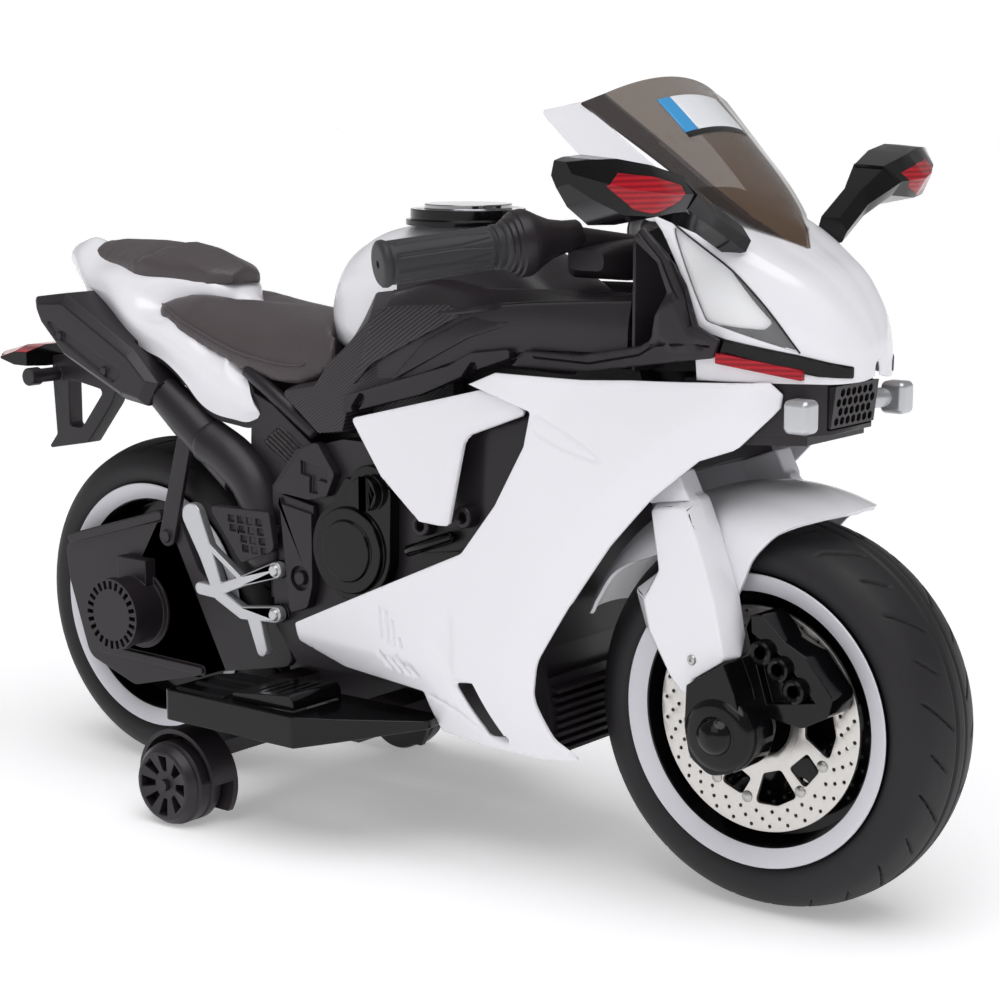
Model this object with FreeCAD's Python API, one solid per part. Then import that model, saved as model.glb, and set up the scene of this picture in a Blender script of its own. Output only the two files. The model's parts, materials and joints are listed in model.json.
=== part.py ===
import FreeCAD, Part
import math
import os

# Kids electric motorbike in millimetres: +X forward, +Y the rider's left, +Z up, floor at z = 0.
# Outlines are (x, z) points with an optional corner radius. Their x counts stations from the middle of
# the wheelbase and their z is a height, both drawn for a 682 mm wheelbase and tyres of 160 mm radius.

V = FreeCAD.Vector

# Wheels
WHEELBASE = 682.0
TYRE_RADIUS = 160.0
TYRE_HALF = 47.0
RIM_SHARE = 0.75
LIP_WIDTH = 17.0
WEB_HALF = 14.0
HUB_RADIUS = 30.0
HUB_HALF = 34.0
AXLE_RADIUS = 8.0
DISC_CLEAR = 11.0
DISC_BAND = 28.0
DISC_THICK = 3.0
DISC_HOLES = 12
TRAIN_RADIUS = 38.0
TRAIN_WIDTH = 38.0
TRAIN_INNER = 142.0
TRAIN_PIN = 5.0

# Steering and fork
RAKE_DEG = 20.0
STEER_OFFSET = 8.0
STEM_RADIUS = 14.0
HEAD_WALL = 8.0
CROWN_HALF = 88.0
CROWN_THICK = 14.0
SLEEVE_INNER = 60.2
SLEEVE_OUTER = 90.0
FOOT_OUTER = 98.0
GUARD_GAP = 24.0
GUARD_HALF = 57.0
BAR_RADIUS = 11.0
GRIP_RADIUS = 17.5
GRIP_LENGTH = 112.0

# Widths of the layers from the middle plane outwards
FRAME_HALF = 36.0
RAIL_HALF = 26.0
ENGINE_HALF = 78.0
TANK_HALF = 50.0
TANK_SIDE = 84.0
COVER_DEPTH = 10.0
CLUTCH_DEPTH = 18.0
SPAR_DEPTH = 10.0
INFILL_INSET = 8.0
SWING_INNER = 52.0
SWING_PLATE = 8.0
MOTOR_RADIUS = 33.0
MOTOR_LENGTH = 32.0
CAP_DEPTH = 9.0
HANGER_INNER = 82.0
HANGER_PLATE = 9.0
BOARD_INNER = 92.0
BOARD_OUTER = 178.0
BOARD_WALL = 4.0

# Walls and clearances
WALL = 3.0
SCREEN_WALL = 3.0
GAP = 0.2
RUN_FIT = 0.05
PART_GAP = 0.4
SEAT_GAP = 0.8

FRONT_X = WHEELBASE / 2
REAR_X = -WHEELBASE / 2
AXLE_Z = TYRE_RADIUS
RIM_RADIUS = RIM_SHARE * TYRE_RADIUS
DISC_RADIUS = RIM_RADIUS - LIP_WIDTH - DISC_CLEAR

# Stations round a wheel follow its size, and those between the tyres share the room that is left. Heights
# follow the wheels up to the top of the tyre, and the body above keeps its own heights.
WHEEL = TYRE_RADIUS / 160
MIDDLE = (FRONT_X - TYRE_RADIUS) / 181
RAKE = math.radians(RAKE_DEG)
STEER_FOOT = V(FRONT_X - STEER_OFFSET, 0, AXLE_Z)
STEER_AXIS = V(-math.sin(RAKE), 0, math.cos(RAKE))
SWING_OUTER = SWING_INNER + SWING_PLATE
CLUTCH_FACE = ENGINE_HALF + CLUTCH_DEPTH

nodes = {}


# Drawing helpers: stations and heights, outlines with rounded corners, slabs, lofts, turned pieces, bars.

def station(x):
    if abs(x) <= 181:
        return x * MIDDLE
    return math.copysign(FRONT_X + (abs(x) - 341) * WHEEL, x)


def level(z):
    return z * WHEEL if z <= 320 else z - 320 + 2 * TYRE_RADIUS


def side(y):
    return lambda x, z: V(station(x), y, level(z))


def plan(z):
    return lambda x, y: V(station(x), y, level(z))


def across(x):
    return lambda y, z: V(station(x), y, level(z))


def outline(points, plane):
    corners = [plane(point[0], point[1]) for point in points]
    turns = []
    for index, here in enumerate(corners):
        radius = points[index][2] if len(points[index]) > 2 else 0
        if not radius:
            turns.append((here, here, here))
            continue
        back = corners[index - 1] - here
        ahead = corners[(index + 1) % len(corners)] - here
        half = back.getAngle(ahead) / 2
        cut = min(radius / math.tan(half), 0.45 * back.Length, 0.45 * ahead.Length)
        back.normalize()
        ahead.normalize()
        middle = (back + ahead).normalize()
        depth = cut / math.cos(half) - cut * math.tan(half)
        turns.append((here + back * cut, here + middle * depth, here + ahead * cut))
    edges = []
    for index, turn in enumerate(turns):
        if (turn[0] - turn[2]).Length > 1e-6:
            edges.append(Part.Arc(*turn).toShape())
        start = turn[2]
        end = turns[(index + 1) % len(turns)][0]
        if (start - end).Length > 1e-6:
            edges.append(Part.makeLine(start, end))
    return Part.Wire(edges)


def slab(points, inner, outer):
    face = Part.Face(outline(points, side(-inner)))
    return face.extrude(V(0, inner - outer, 0))


def middle_slab(points, half):
    return slab(points, -half, half)


def plan_slab(points, low, high):
    face = Part.Face(outline(points, plan(low)))
    return face.extrude(V(0, 0, level(high) - level(low)))


def loft(sections, ruled=True):
    return Part.makeLoft(sections, True, ruled)


def tapered(inner_points, inner, outer_points, outer):
    return loft([outline(inner_points, side(-inner)), outline(outer_points, side(-outer))])


def rod(x, z, radius, inner, outer):
    base = side(-inner)(x, z)
    return Part.makeCylinder(radius, outer - inner, base, V(0, -1, 0))


def axle_rod(x, radius, inner, outer):
    return Part.makeCylinder(radius, outer - inner, V(x, -inner, AXLE_Z), V(0, -1, 0))


def turned(profile, x, z):
    points = [V(x + radius, y, z) for radius, y in profile]
    face = Part.Face(Part.makePolygon(points + points[:1]))
    return face.revolve(V(x, 0, z), V(0, 1, 0), 360)


def bar(start, end, first, last, inner, outer):
    a = side(-inner)(*start)
    b = side(-inner)(*end)
    along = (b - a).normalize()
    normal = V(along.z, 0, -along.x)
    wide = normal * (first / 2)
    slim = normal * (last / 2)
    quad = [a + wide, b + slim, b - slim, a - wide]
    web = Part.Face(Part.makePolygon(quad + quad[:1])).extrude(V(0, inner - outer, 0))
    ends = [rod(*start, first / 2, inner, outer), rod(*end, last / 2, inner, outer)]
    return web.multiFuse(ends).removeSplitter()


def fuse(shapes):
    return shapes[0].multiFuse(shapes[1:]).removeSplitter()


def mirrored(shape):
    return shape.mirror(V(0, 0, 0), V(0, 1, 0))


def pair(shape):
    return Part.makeCompound([shape, mirrored(shape)])


def steered(height):
    return STEER_FOOT + STEER_AXIS * ((level(height) - AXLE_Z) / math.cos(RAKE))


# Tyres: hollow-looking road tyres with a round crown, drawn from the bead out to the tread and back.

def tyre(x):
    bead = RIM_RADIUS + GAP
    half = [(bead, 0.92 * TYRE_HALF), (bead + 14, TYRE_HALF), (TYRE_RADIUS - 12, 0.84 * TYRE_HALF)]
    crown = [(TYRE_RADIUS - 3.5, 0.48 * TYRE_HALF), (TYRE_RADIUS, 0.16 * TYRE_HALF)]
    right = half + crown
    left = [(radius, -y) for radius, y in reversed(right)]
    return turned(right + left, x, AXLE_Z)


# Rims: a wide lip that carries the tyre, a web with eight windows and a hub bored for the axle.

def rim(x):
    lip_inner = RIM_RADIUS - LIP_WIDTH
    right = [
        (RIM_RADIUS, 0.98 * TYRE_HALF), (lip_inner, 0.86 * TYRE_HALF), (lip_inner - 4, WEB_HALF),
        (HUB_RADIUS, WEB_HALF), (HUB_RADIUS, HUB_HALF), (AXLE_RADIUS + RUN_FIT, HUB_HALF)]
    left = [(radius, -y) for radius, y in reversed(right)]
    body = turned(right + left, x, AXLE_Z)
    middle = (lip_inner + HUB_RADIUS) / 2
    window = Part.makeCylinder(13, 2 * HUB_HALF, V(x + middle, -HUB_HALF, AXLE_Z), V(0, 1, 0))
    holes = []
    for count in range(8):
        hole = window.copy()
        hole.rotate(V(x, 0, AXLE_Z), V(0, 1, 0), 22.5 + 45 * count)
        holes.append(hole)
    return body.cut(holes)


nodes["front_tyre"] = tyre(FRONT_X)
nodes["rear_tyre"] = tyre(REAR_X)
nodes["front_rim"] = rim(FRONT_X)
nodes["rear_rim"] = rim(REAR_X)


# Brake discs: a drilled band on a five-arm carrier against each end of the front hub.

def brake_disc():
    near = HUB_HALF + GAP
    far = near + DISC_THICK
    band = axle_rod(FRONT_X, DISC_RADIUS, near, far)
    band = band.cut(axle_rod(FRONT_X, DISC_RADIUS - DISC_BAND, near, far))
    carrier = axle_rod(FRONT_X, HUB_RADIUS, near, far)
    arms = []
    for count in range(5):
        arm = Part.makeBox(DISC_RADIUS - DISC_BAND / 2, DISC_THICK, 13, V(FRONT_X, -far, AXLE_Z - 6.5))
        arm.rotate(V(FRONT_X, 0, AXLE_Z), V(0, 1, 0), 72 * count)
        arms.append(arm)
    disc = fuse([band, carrier] + arms)
    holes = [axle_rod(FRONT_X, AXLE_RADIUS + RUN_FIT, near, far)]
    for count in range(DISC_HOLES):
        angle = 2 * math.pi * count / DISC_HOLES
        radius = DISC_RADIUS - DISC_BAND / 2 + (5 if count % 2 else -5)
        spot = V(FRONT_X + radius * math.cos(angle), -near, AXLE_Z + radius * math.sin(angle))
        holes.append(Part.makeCylinder(2.2, DISC_THICK, spot, V(0, -1, 0)))
    return disc.cut(holes)


nodes["brake_discs"] = pair(brake_disc())


# Axles: plain steel rods, the front one held in the fork feet and the rear one in the swingarm plates.

FOOT_BORE = FOOT_OUTER - 14
nodes["front_axle"] = axle_rod(FRONT_X, AXLE_RADIUS, -FOOT_BORE + GAP, FOOT_BORE - GAP)
nodes["rear_axle"] = axle_rod(REAR_X, AXLE_RADIUS, -SWING_OUTER, SWING_OUTER)

# Steering stem: a steel shaft through the head tube with the fork crown welded to its foot.
CROWN_HEIGHT = 350
STEM_TOP = 520
crown_at = steered(CROWN_HEIGHT)
stem_shaft = Part.makeCylinder(STEM_RADIUS, (steered(STEM_TOP) - crown_at).Length, crown_at, STEER_AXIS)
crown_plan = [
    (-15, -CROWN_HALF, 12), (15, -CROWN_HALF, 12), (20, 0), (15, CROWN_HALF, 12), (-15, CROWN_HALF, 12),
    (-22, 0)]
crown_wire = outline(crown_plan, lambda x, y: V(x, y, 0))
crown = Part.Face(crown_wire).extrude(V(0, 0, CROWN_THICK))
crown.rotate(V(0, 0, 0), V(0, 1, 0), -RAKE_DEG)
crown.translate(crown_at)
nodes["steering_stem"] = fuse([stem_shaft, crown])

# Fork sleeves: white mouldings round the legs, stepped behind and drawn to a point above the foot.
SLEEVE_OUTLINE = [
    (266, 336, 6), (275, 281), (247, 259), (257, 231), (288, 195, 20), (306, 180, 4), (312, 196),
    (346, 218, 5), (337, 264), (318, 316), (306, 343, 8)]
SLEEVE_FACE = [
    (271, 330, 6), (280, 281), (266, 256), (272, 231), (292, 197, 20), (306, 184, 4), (314, 199),
    (341, 217, 5), (331, 264), (312, 316), (302, 334, 8)]
sleeve_step = 0.45 * (SLEEVE_OUTER - SLEEVE_INNER)
sleeve_root = slab(SLEEVE_OUTLINE, SLEEVE_INNER, SLEEVE_INNER + sleeve_step)
sleeve_face = tapered(SLEEVE_OUTLINE, SLEEVE_INNER + sleeve_step, SLEEVE_FACE, SLEEVE_OUTER)
sleeve_neck = slab([(266, 332), (256, 352), (290, 366), (304, 338)], SLEEVE_INNER, CROWN_HALF - 4)
crown_room = Part.makeBox(80, 3 * CROWN_HALF, 60, V(-40, -1.5 * CROWN_HALF, 0))
crown_room.rotate(V(0, 0, 0), V(0, 1, 0), -RAKE_DEG)
crown_room.translate(crown_at - STEER_AXIS * GAP)
nodes["fork_sleeves"] = pair(fuse([sleeve_root, sleeve_face, sleeve_neck]).cut(crown_room))

# Fork feet: black castings with a bored boss for the axle, a domed cap and the brake caliper.
FOOT_OUTLINE = [
    (311, 162, 8), (312.2, 195.5), (346, 217.4), (356, 196, 6), (366, 160, 14), (358, 132, 14),
    (335, 126, 14), (316, 138, 14)]
CALIPER_OUTLINE = [
    (345, 216), (352, 252, 4), (364, 254, 4), (384, 236, 4), (404, 226, 6), (428, 198, 6), (424, 182, 6),
    (402, 170, 8), (362, 174)]
CALIPER_PISTONS = ((366, 225), (381, 214), (395, 199))
CALIPER_INNER = 39.0
CALIPER_OUTER = 72.0
PISTON_RADIUS = 9.0
foot = slab(FOOT_OUTLINE, TYRE_HALF + 2, FOOT_OUTER)
foot_boss = axle_rod(FRONT_X, 14, HUB_HALF + DISC_THICK + 2 * GAP + PART_GAP, FOOT_OUTER)
foot_cap = Part.makeSphere(19, V(FRONT_X, -FOOT_OUTER + 12, AXLE_Z))
foot_cap = foot_cap.common(axle_rod(FRONT_X, 30, FOOT_OUTER - 2, FOOT_OUTER + 20))
caliper = slab(CALIPER_OUTLINE, CALIPER_INNER, CALIPER_OUTER)
caliper = caliper.cut(slab([(352, 240), (384, 222), (412, 192), (370, 184)], CALIPER_OUTER - 8, CALIPER_OUTER))
pistons = [rod(x, z, PISTON_RADIUS, CALIPER_OUTER - 10, CALIPER_OUTER + 3) for x, z in CALIPER_PISTONS]
foot_bore = axle_rod(FRONT_X, AXLE_RADIUS + RUN_FIT, 0, FOOT_BORE)
fork_foot = fuse([foot, foot_boss, foot_cap, caliper] + pistons).cut(foot_bore)
fork_foot = fork_foot.cut(slab(SLEEVE_OUTLINE, SLEEVE_INNER - GAP, SLEEVE_OUTER + GAP))
nodes["fork_feet"] = pair(fork_foot)

# Mudguard: an arched shell over the front tyre, cut to its side outline with flanges to the sleeves.
guard_outer = TYRE_RADIUS + GUARD_GAP + WALL
guard_profile = [
    (guard_outer, 0), (guard_outer - 4, 0.5 * GUARD_HALF), (guard_outer - 16, 0.86 * GUARD_HALF),
    (guard_outer - 40, GUARD_HALF + WALL), (90, GUARD_HALF + WALL)]
guard_inside = [(guard_outer - WALL - drop, half) for drop, half in (
    (40, GUARD_HALF), (17, 0.84 * GUARD_HALF - WALL), (4, 0.48 * GUARD_HALF), (0, 0))]
guard_half = guard_profile + [(90, GUARD_HALF)] + guard_inside
guard_ring = turned(guard_half, FRONT_X, AXLE_Z)
guard_ring = guard_ring.fuse(mirrored(guard_ring)).removeSplitter()
GUARD_OUTLINE = [
    (408, 334, 3), (386, 325), (356, 303, 12), (342, 288, 10), (347, 266, 6), (324, 257, 6), (302, 292),
    (268, 290), (234, 272), (204, 258), (187, 226, 6), (178, 234, 6), (200, 300), (260, 352), (340, 362),
    (408, 342)]
nodes["mudguard"] = guard_ring.common(middle_slab(GUARD_OUTLINE, GUARD_HALF + 10))

# Handlebar: a clamp on the stem with swept-back bars and switch housings moulded on.
GRIP_INNER = V(station(144), -105, level(STEM_TOP + 11))
GRIP_WAY = V(-57, -98, -13).normalize()
BAR_BEND = GRIP_INNER - GRIP_WAY * 42
clamp_top = steered(STEM_TOP)
clamp = Part.makeCylinder(STEM_RADIUS + 9, 26, clamp_top - STEER_AXIS * 14, STEER_AXIS)
bar_middle = clamp_top + STEER_AXIS * 4
crossbar = Part.makeCylinder(BAR_RADIUS, (BAR_BEND - bar_middle).Length, bar_middle, BAR_BEND - bar_middle)
bar_knee = Part.makeSphere(BAR_RADIUS, BAR_BEND)
bar_end = Part.makeCylinder(BAR_RADIUS, 42 + GRIP_LENGTH - 6, BAR_BEND, GRIP_WAY)
housing = Part.makeCone(BAR_RADIUS + 2, GRIP_RADIUS + 4, 26, GRIP_INNER - GRIP_WAY * 30, GRIP_WAY)
flange = Part.makeCylinder(GRIP_RADIUS + 4, 4, GRIP_INNER - GRIP_WAY * 4, GRIP_WAY)
half_bar = fuse([crossbar, bar_knee, bar_end, housing, flange])
handlebar = fuse([clamp, half_bar, mirrored(half_bar)])
stem_bore = Part.makeCylinder(STEM_RADIUS + RUN_FIT, 14 + RUN_FIT, clamp_top - STEER_AXIS * 14, STEER_AXIS)
nodes["handlebar"] = handlebar.cut(stem_bore)

# Grips: ribbed rubber sleeves pushed over the bar ends, closed at the outer end.
grip = Part.makeCylinder(GRIP_RADIUS, GRIP_LENGTH, GRIP_INNER + GRIP_WAY * GAP, GRIP_WAY)
grip_bead = Part.makeCylinder(GRIP_RADIUS + 2, 7, GRIP_INNER + GRIP_WAY * GAP, GRIP_WAY)
grip_tip = Part.makeCylinder(GRIP_RADIUS + 1.5, 8, GRIP_INNER + GRIP_WAY * (GRIP_LENGTH - 8), GRIP_WAY)
grip_bore = Part.makeCylinder(BAR_RADIUS + RUN_FIT, GRIP_LENGTH - 6 + RUN_FIT, GRIP_INNER, GRIP_WAY)
nodes["grips"] = pair(fuse([grip, grip_bead, grip_tip]).cut(grip_bore))

# Main frame: a box spine with the head tube, the seat rail behind and two cross bars for the boards.
SPINE = [
    (-168, 330), (-150, 366), (-116, 392), (-104, 392), (-68, 429.8), (222, 429.8), (236, 392), (212, 378),
    (150, 322), (150, 114), (120, 96), (-142, 96), (-160, 72.2), (-194, 72.2), (-190, 84), (-170, 118),
    (-168, 200)]
RAIL = [
    (-432, 452), (-300, 436), (-190, 399.8), (-116, 392), (-100, 380), (-100, 362), (-160, 340), (-300, 384),
    (-432, 432)]
BOARD_TOP = 128.0
BAR_STATIONS = ((-160, -132), (-34, 6))
HEAD_LOW = 384
HEAD_HIGH = 466
head_start = steered(HEAD_LOW)
head_length = (steered(HEAD_HIGH) - head_start).Length
head_tube = Part.makeCylinder(STEM_RADIUS + HEAD_WALL, head_length, head_start, STEER_AXIS)
spine = middle_slab(SPINE, FRAME_HALF)
rail = middle_slab(RAIL, RAIL_HALF)
NOSE_ARM_HALF = 24.0
NOSE_ARM = [(226, 428), (222, 462), (240, 470), (322, 470), (322, 431), (262, 431)]
nose_arm = middle_slab(NOSE_ARM, NOSE_ARM_HALF)
arm_room = middle_slab([(226, 420), (226, 480), (322.3, 480), (322.3, 420)], NOSE_ARM_HALF + GAP)
board_under = BOARD_TOP - BOARD_WALL - GAP
cross_bars = []
for back, front in BAR_STATIONS:
    ends = [(back, board_under - 20), (front, board_under - 20), (front, board_under), (back, board_under)]
    cross_bars.append(middle_slab(ends, BOARD_OUTER - 40))
main_frame = fuse([spine, rail, nose_arm, head_tube] + cross_bars)
bore_start = head_start - STEER_AXIS * 30
head_bore = Part.makeCylinder(STEM_RADIUS + RUN_FIT, head_length + 60, bore_start, STEER_AXIS)

# Battery and control box: a sealed block in a pocket of the spine and a circuit housing above it.
BATTERY = (151.0, 65.0, 94.0)
CONTROL = (70.0, 56.0, 40.0)
battery_corner = side(-BATTERY[1] / 2)(-148, 168)
control_corner = V(battery_corner.x + 40, -CONTROL[1] / 2, battery_corner.z + BATTERY[2] + 14)


def packed_box(size, corner, room):
    spans = [span + 2 * room for span in size]
    return Part.makeBox(*spans, corner - V(room, room, room))


nodes["battery"] = packed_box(BATTERY, battery_corner, 0)
nodes["control_box"] = packed_box(CONTROL, control_corner, 0)
pockets = [packed_box(BATTERY, battery_corner, GAP), packed_box(CONTROL, control_corner, GAP)]
main_frame = main_frame.cut([head_bore] + pockets)
nodes["main_frame"] = main_frame

# Engine block: a moulded casing half on each side of the spine, stepped at the cylinders.
ENGINE_OUTLINE = [
    (-148, 302), (-118, 338), (-62, 352, 6), (40, 352), (66, 334), (96, 292, 10), (104, 205, 10), (66, 142, 12),
    (-120, 142, 8), (-148, 176)]
engine = slab(ENGINE_OUTLINE, FRAME_HALF + GAP, ENGINE_HALF)
exhaust_tube = Part.makeCylinder(9, 100, side(-64)(-153, 198), V(0, 0, 1))
ENGINE_ARM = [(96, 250), (140, 262), (146, 300), (120, 318), (84, 300)]
engine_arm = slab(ENGINE_ARM, FRAME_HALF + GAP, FRAME_HALF + 24)
nodes["engine_block"] = pair(fuse([engine, exhaust_tube, engine_arm]).cut(cross_bars))

# Clutch covers: a rounded cover with a raised disc and a slotted filler cap on each casing.
CLUTCH_CENTRE = (-43, 258)
CLUTCH_RADIUS = 45.0
FILLER_CENTRE = (-21, 311)
clutch_face = ENGINE_HALF + GAP
clutch_radius = CLUTCH_RADIUS * min(1, MIDDLE, WHEEL)
clutch_body = fuse([
    rod(*CLUTCH_CENTRE, clutch_radius, clutch_face, CLUTCH_FACE - 5),
    rod(*FILLER_CENTRE, 0.53 * clutch_radius, clutch_face, CLUTCH_FACE - 5),
    slab([(-86, 268), (-48, 322), (3, 312), (2, 258)], clutch_face, CLUTCH_FACE - 5)])
clutch_top = fuse([
    rod(*CLUTCH_CENTRE, clutch_radius - 7, CLUTCH_FACE - 5, CLUTCH_FACE),
    rod(*CLUTCH_CENTRE, clutch_radius - 18, CLUTCH_FACE, CLUTCH_FACE + 3)])
filler = rod(*FILLER_CENTRE, clutch_radius / 3, CLUTCH_FACE - 5, CLUTCH_FACE + 4)
filler_slot = slab([(-24, 297), (-18, 297), (-18, 325), (-24, 325)], CLUTCH_FACE + 1, CLUTCH_FACE + 4)
nodes["clutch_covers"] = pair(fuse([clutch_body, clutch_top, filler.cut(filler_slot)]))

# Engine side covers: plain covers behind the clutch with a sunk bolt boss.
SIDE_COVER = [(-132, 298, 3), (-92, 291), (-92, 218), (-98, 198, 8), (-120, 190, 4)]
cover_outer = ENGINE_HALF + COVER_DEPTH
cover = slab(SIDE_COVER, clutch_face, cover_outer)
cover_step = slab([(-132, 298), (-92, 291), (-92, 284), (-131, 290)], cover_outer - 3, cover_outer)
cover_sink = rod(-107, 224, 11, cover_outer - 5, cover_outer)
cover_bolt = rod(-107, 224, 6, cover_outer - 6, cover_outer + 1)
nodes["engine_side_covers"] = pair(fuse([cover.cut(cover_sink).cut(cover_step), cover_bolt]))

# Tank: a crowned top cover on the spine and a side moulding that slopes out to the knee line.
TANK_TOP = [
    (-128, 432, 4), (-128, 466, 14), (-108, 510, 20), (-48, 537, 20), (66, 538, 20), (126, 516, 30),
    (160, 486, 8), (160, 430)]
TANK_EDGE = [
    (-110, 432, 4), (-112, 458, 14), (-92, 488, 20), (-44, 506, 20), (60, 506, 20), (118, 494, 30),
    (150, 478, 8), (150, 430)]
tank_middle = middle_slab(TANK_TOP, 0.4 * TANK_HALF)
tank_slope = tapered(TANK_TOP, 0.4 * TANK_HALF, TANK_EDGE, TANK_HALF)
nodes["tank_top"] = fuse([tank_middle, tank_slope, mirrored(tank_slope)])
TANK_SIDE_IN = [
    (-140, 394, 4), (-86, 352, 4), (-54, 356), (-50, 378), (120, 432), (228, 446, 4), (232, 494, 6),
    (130, 492), (20, 490), (-46, 480, 6), (-66, 446), (-82, 428), (-96, 402)]
TANK_SIDE_OUT = [
    (-132, 390, 4), (-86, 356, 4), (-58, 360), (-52, 380), (116, 434), (218, 450, 4), (222, 480, 6),
    (132, 478), (40, 462), (-26, 458, 6), (-52, 434), (-72, 420), (-90, 398)]
tank_shell = tapered(TANK_SIDE_IN, TANK_HALF + GAP, TANK_SIDE_OUT, TANK_SIDE)
TANK_PAD = [(-60, 362), (-52, 380), (40, 408), (40, 392), (-40, 364)]
tank_pad = slab(TANK_PAD, FRAME_HALF + GAP, TANK_HALF + 2 * GAP)
tank_side = fuse([tank_shell, tank_pad])

# Fuel cap: a turned ring with a stepped rim and a lock plate on the tank.
CAP_X = 16.0
cap_base = V(station(CAP_X), 0, level(538) + GAP)
cap_steps = ((54, 5), (48, 10), (50, 14), (38, 18))
cap_rings = [Part.makeCylinder(radius, height, cap_base, V(0, 0, 1)) for radius, height in cap_steps]
cap_holes = []
for count in range(6):
    hole = Part.makeCylinder(3, 30, cap_base + V(44, 0, 11), V(0, 0, 1))
    hole.rotate(cap_base, V(0, 0, 1), 60 * count)
    cap_holes.append(hole)
fuel_cap = fuse(cap_rings).cut(cap_holes)
nodes["fuel_cap"] = fuel_cap

# Frame spars: the triangular rear plate on the casing and the long spar with oval holes on the tank side.
REAR_SPAR = [(-140, 300, 3), (-99, 344, 6), (-85, 349, 6), (-64, 322, 4), (-74, 301, 3), (-96, 296, 3)]
spar_outer = ENGINE_HALF + SPAR_DEPTH
rear_spar = slab(REAR_SPAR, clutch_face, spar_outer)
spar_recess = fuse([
    slab([(-104, 331), (-72, 325), (-73, 314), (-104, 319)], spar_outer - 4, spar_outer),
    slab([(-93, 322), (-83, 320), (-84, 303), (-94, 303)], spar_outer - 4, spar_outer)])
LONG_SPAR = [
    (-50, 377, 3), (-46, 394, 4), (70, 428), (92, 440, 6), (134, 446, 3), (134, 438), (104, 428), (40, 401)]
long_spar = slab(LONG_SPAR, TANK_SIDE + GAP, TANK_SIDE + SPAR_DEPTH)
spar_holes = [bar((-34, 384), (-27, 393), 8, 8, TANK_SIDE, TANK_SIDE + SPAR_DEPTH),
              bar((88, 418), (96, 428), 9, 9, TANK_SIDE, TANK_SIDE + SPAR_DEPTH)]
spars = [rear_spar.cut(spar_recess), long_spar.cut(spar_holes)]
nodes["frame_spars"] = Part.makeCompound(spars + [mirrored(spar) for spar in spars])

# Side fairings: shells cut from one flowing flank, whose half widths are given at heights and stations.
FLANK_LEVELS = (455, 400, 320, 240, 182, 150, 96)
FLANK = (
    (-120, (100, 103, 107, 110, 109, 95, 66)),
    (0, (106, 110, 115, 119, 119, 108, 78)),
    (100, (110, 114, 120, 124, 123, 115, 86)),
    (190, (112, 116, 121, 124, 121, 113, 88)),
    (290, (100, 105, 112, 114, 110, 102, 82)),
    (410, (56, 62, 72, 80, 80, 74, 60)))
FLANK_CORE = 20.0


def flank(inset):
    sections = []
    for x, halves in FLANK:
        points = [(-half + inset, level) for half, level in zip(halves, FLANK_LEVELS)]
        points = [(-FLANK_CORE, FLANK_LEVELS[0])] + points + [(-FLANK_CORE, FLANK_LEVELS[-1])]
        sections.append(outline(points, across(x)))
    return loft(sections)


def panel(points, inset):
    shell = flank(inset).cut(flank(inset + WALL))
    return shell.common(slab(points, FLANK_CORE + 10, BOARD_OUTER))


def boss(x, z, radius, base, inset):
    return rod(x, z, radius, base, BOARD_OUTER).common(flank(inset + WALL / 2))


FAIRING = [
    (-92, 190, 3), (106, 278, 14), (140, 322), (167, 372, 10), (172, 400, 3), (106, 417), (134, 428.5, 4),
    (220, 429), (262, 431.5), (390, 437, 4), (386, 424, 5), (378, 408, 8), (350, 382, 14), (318, 372), (282, 340),
    (248, 300), (214, 250, 30), (186, 196, 40), (182, 164, 30), (204, 128, 10), (234, 116.5, 6), (176, 109),
    (112, 111, 8), (64, 150), (-36, 158, 20), (-88, 174, 5)]
SCOOP = [(96, 166, 4), (117, 167, 3), (136, 122, 5), (120, 121, 5)]
SLITS = ((15, 218), (23, 215), (30, 210))
fairing = panel(FAIRING, 0)
openings = [slab(SCOOP, FLANK_CORE, BOARD_OUTER)]
for x, z in SLITS:
    openings.append(bar((x, z), (x + 2, z - 22), 2.4, 2.4, FLANK_CORE, BOARD_OUTER))
fairing = fairing.cut(openings)
fairing = fuse([fairing, boss(40, 200, 7, clutch_face, 0), boss(86, 232, 7, clutch_face, 0)])
nodes["side_fairing_right"] = fairing
nodes["side_fairing_left"] = mirrored(fairing)

# Infill panels: white plates between the spar and the fairing, set in from the flank.
INFILL = [
    (-32, 376, 4), (112, 412, 6), (150, 409, 4), (160, 396, 4), (96, 372, 10), (82, 296, 3), (52, 297, 3),
    (6, 330)]
infill = panel(INFILL, INFILL_INSET)
nodes["infill_panels"] = pair(fuse([infill, boss(52, 318, 6, clutch_face, INFILL_INSET)]))

# Belly shroud: the dark panel between the fairings, with a slot and a slatted radiator low down.
SHROUD = [(150.2, 322), (156, 324), (156, 200), (168, 140, 10), (166, 110, 6), (150.2, 108)]
SHROUD_HALF = 82.0
SLAT_HALF = 76.0
SLAT_PITCH = 7.4
shroud_slot = middle_slab([(153, 172), (180, 172), (180, 196), (153, 196)], SLAT_HALF)
slats = []
for count in range(8):
    z = 110 + SLAT_PITCH * count
    slats.append(middle_slab([(155, z), (172, z - 1), (172, z + 2), (155, z + 4)], SLAT_HALF))
nodes["belly_shroud"] = fuse([middle_slab(SHROUD, SHROUD_HALF).cut(shroud_slot)] + slats)

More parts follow.
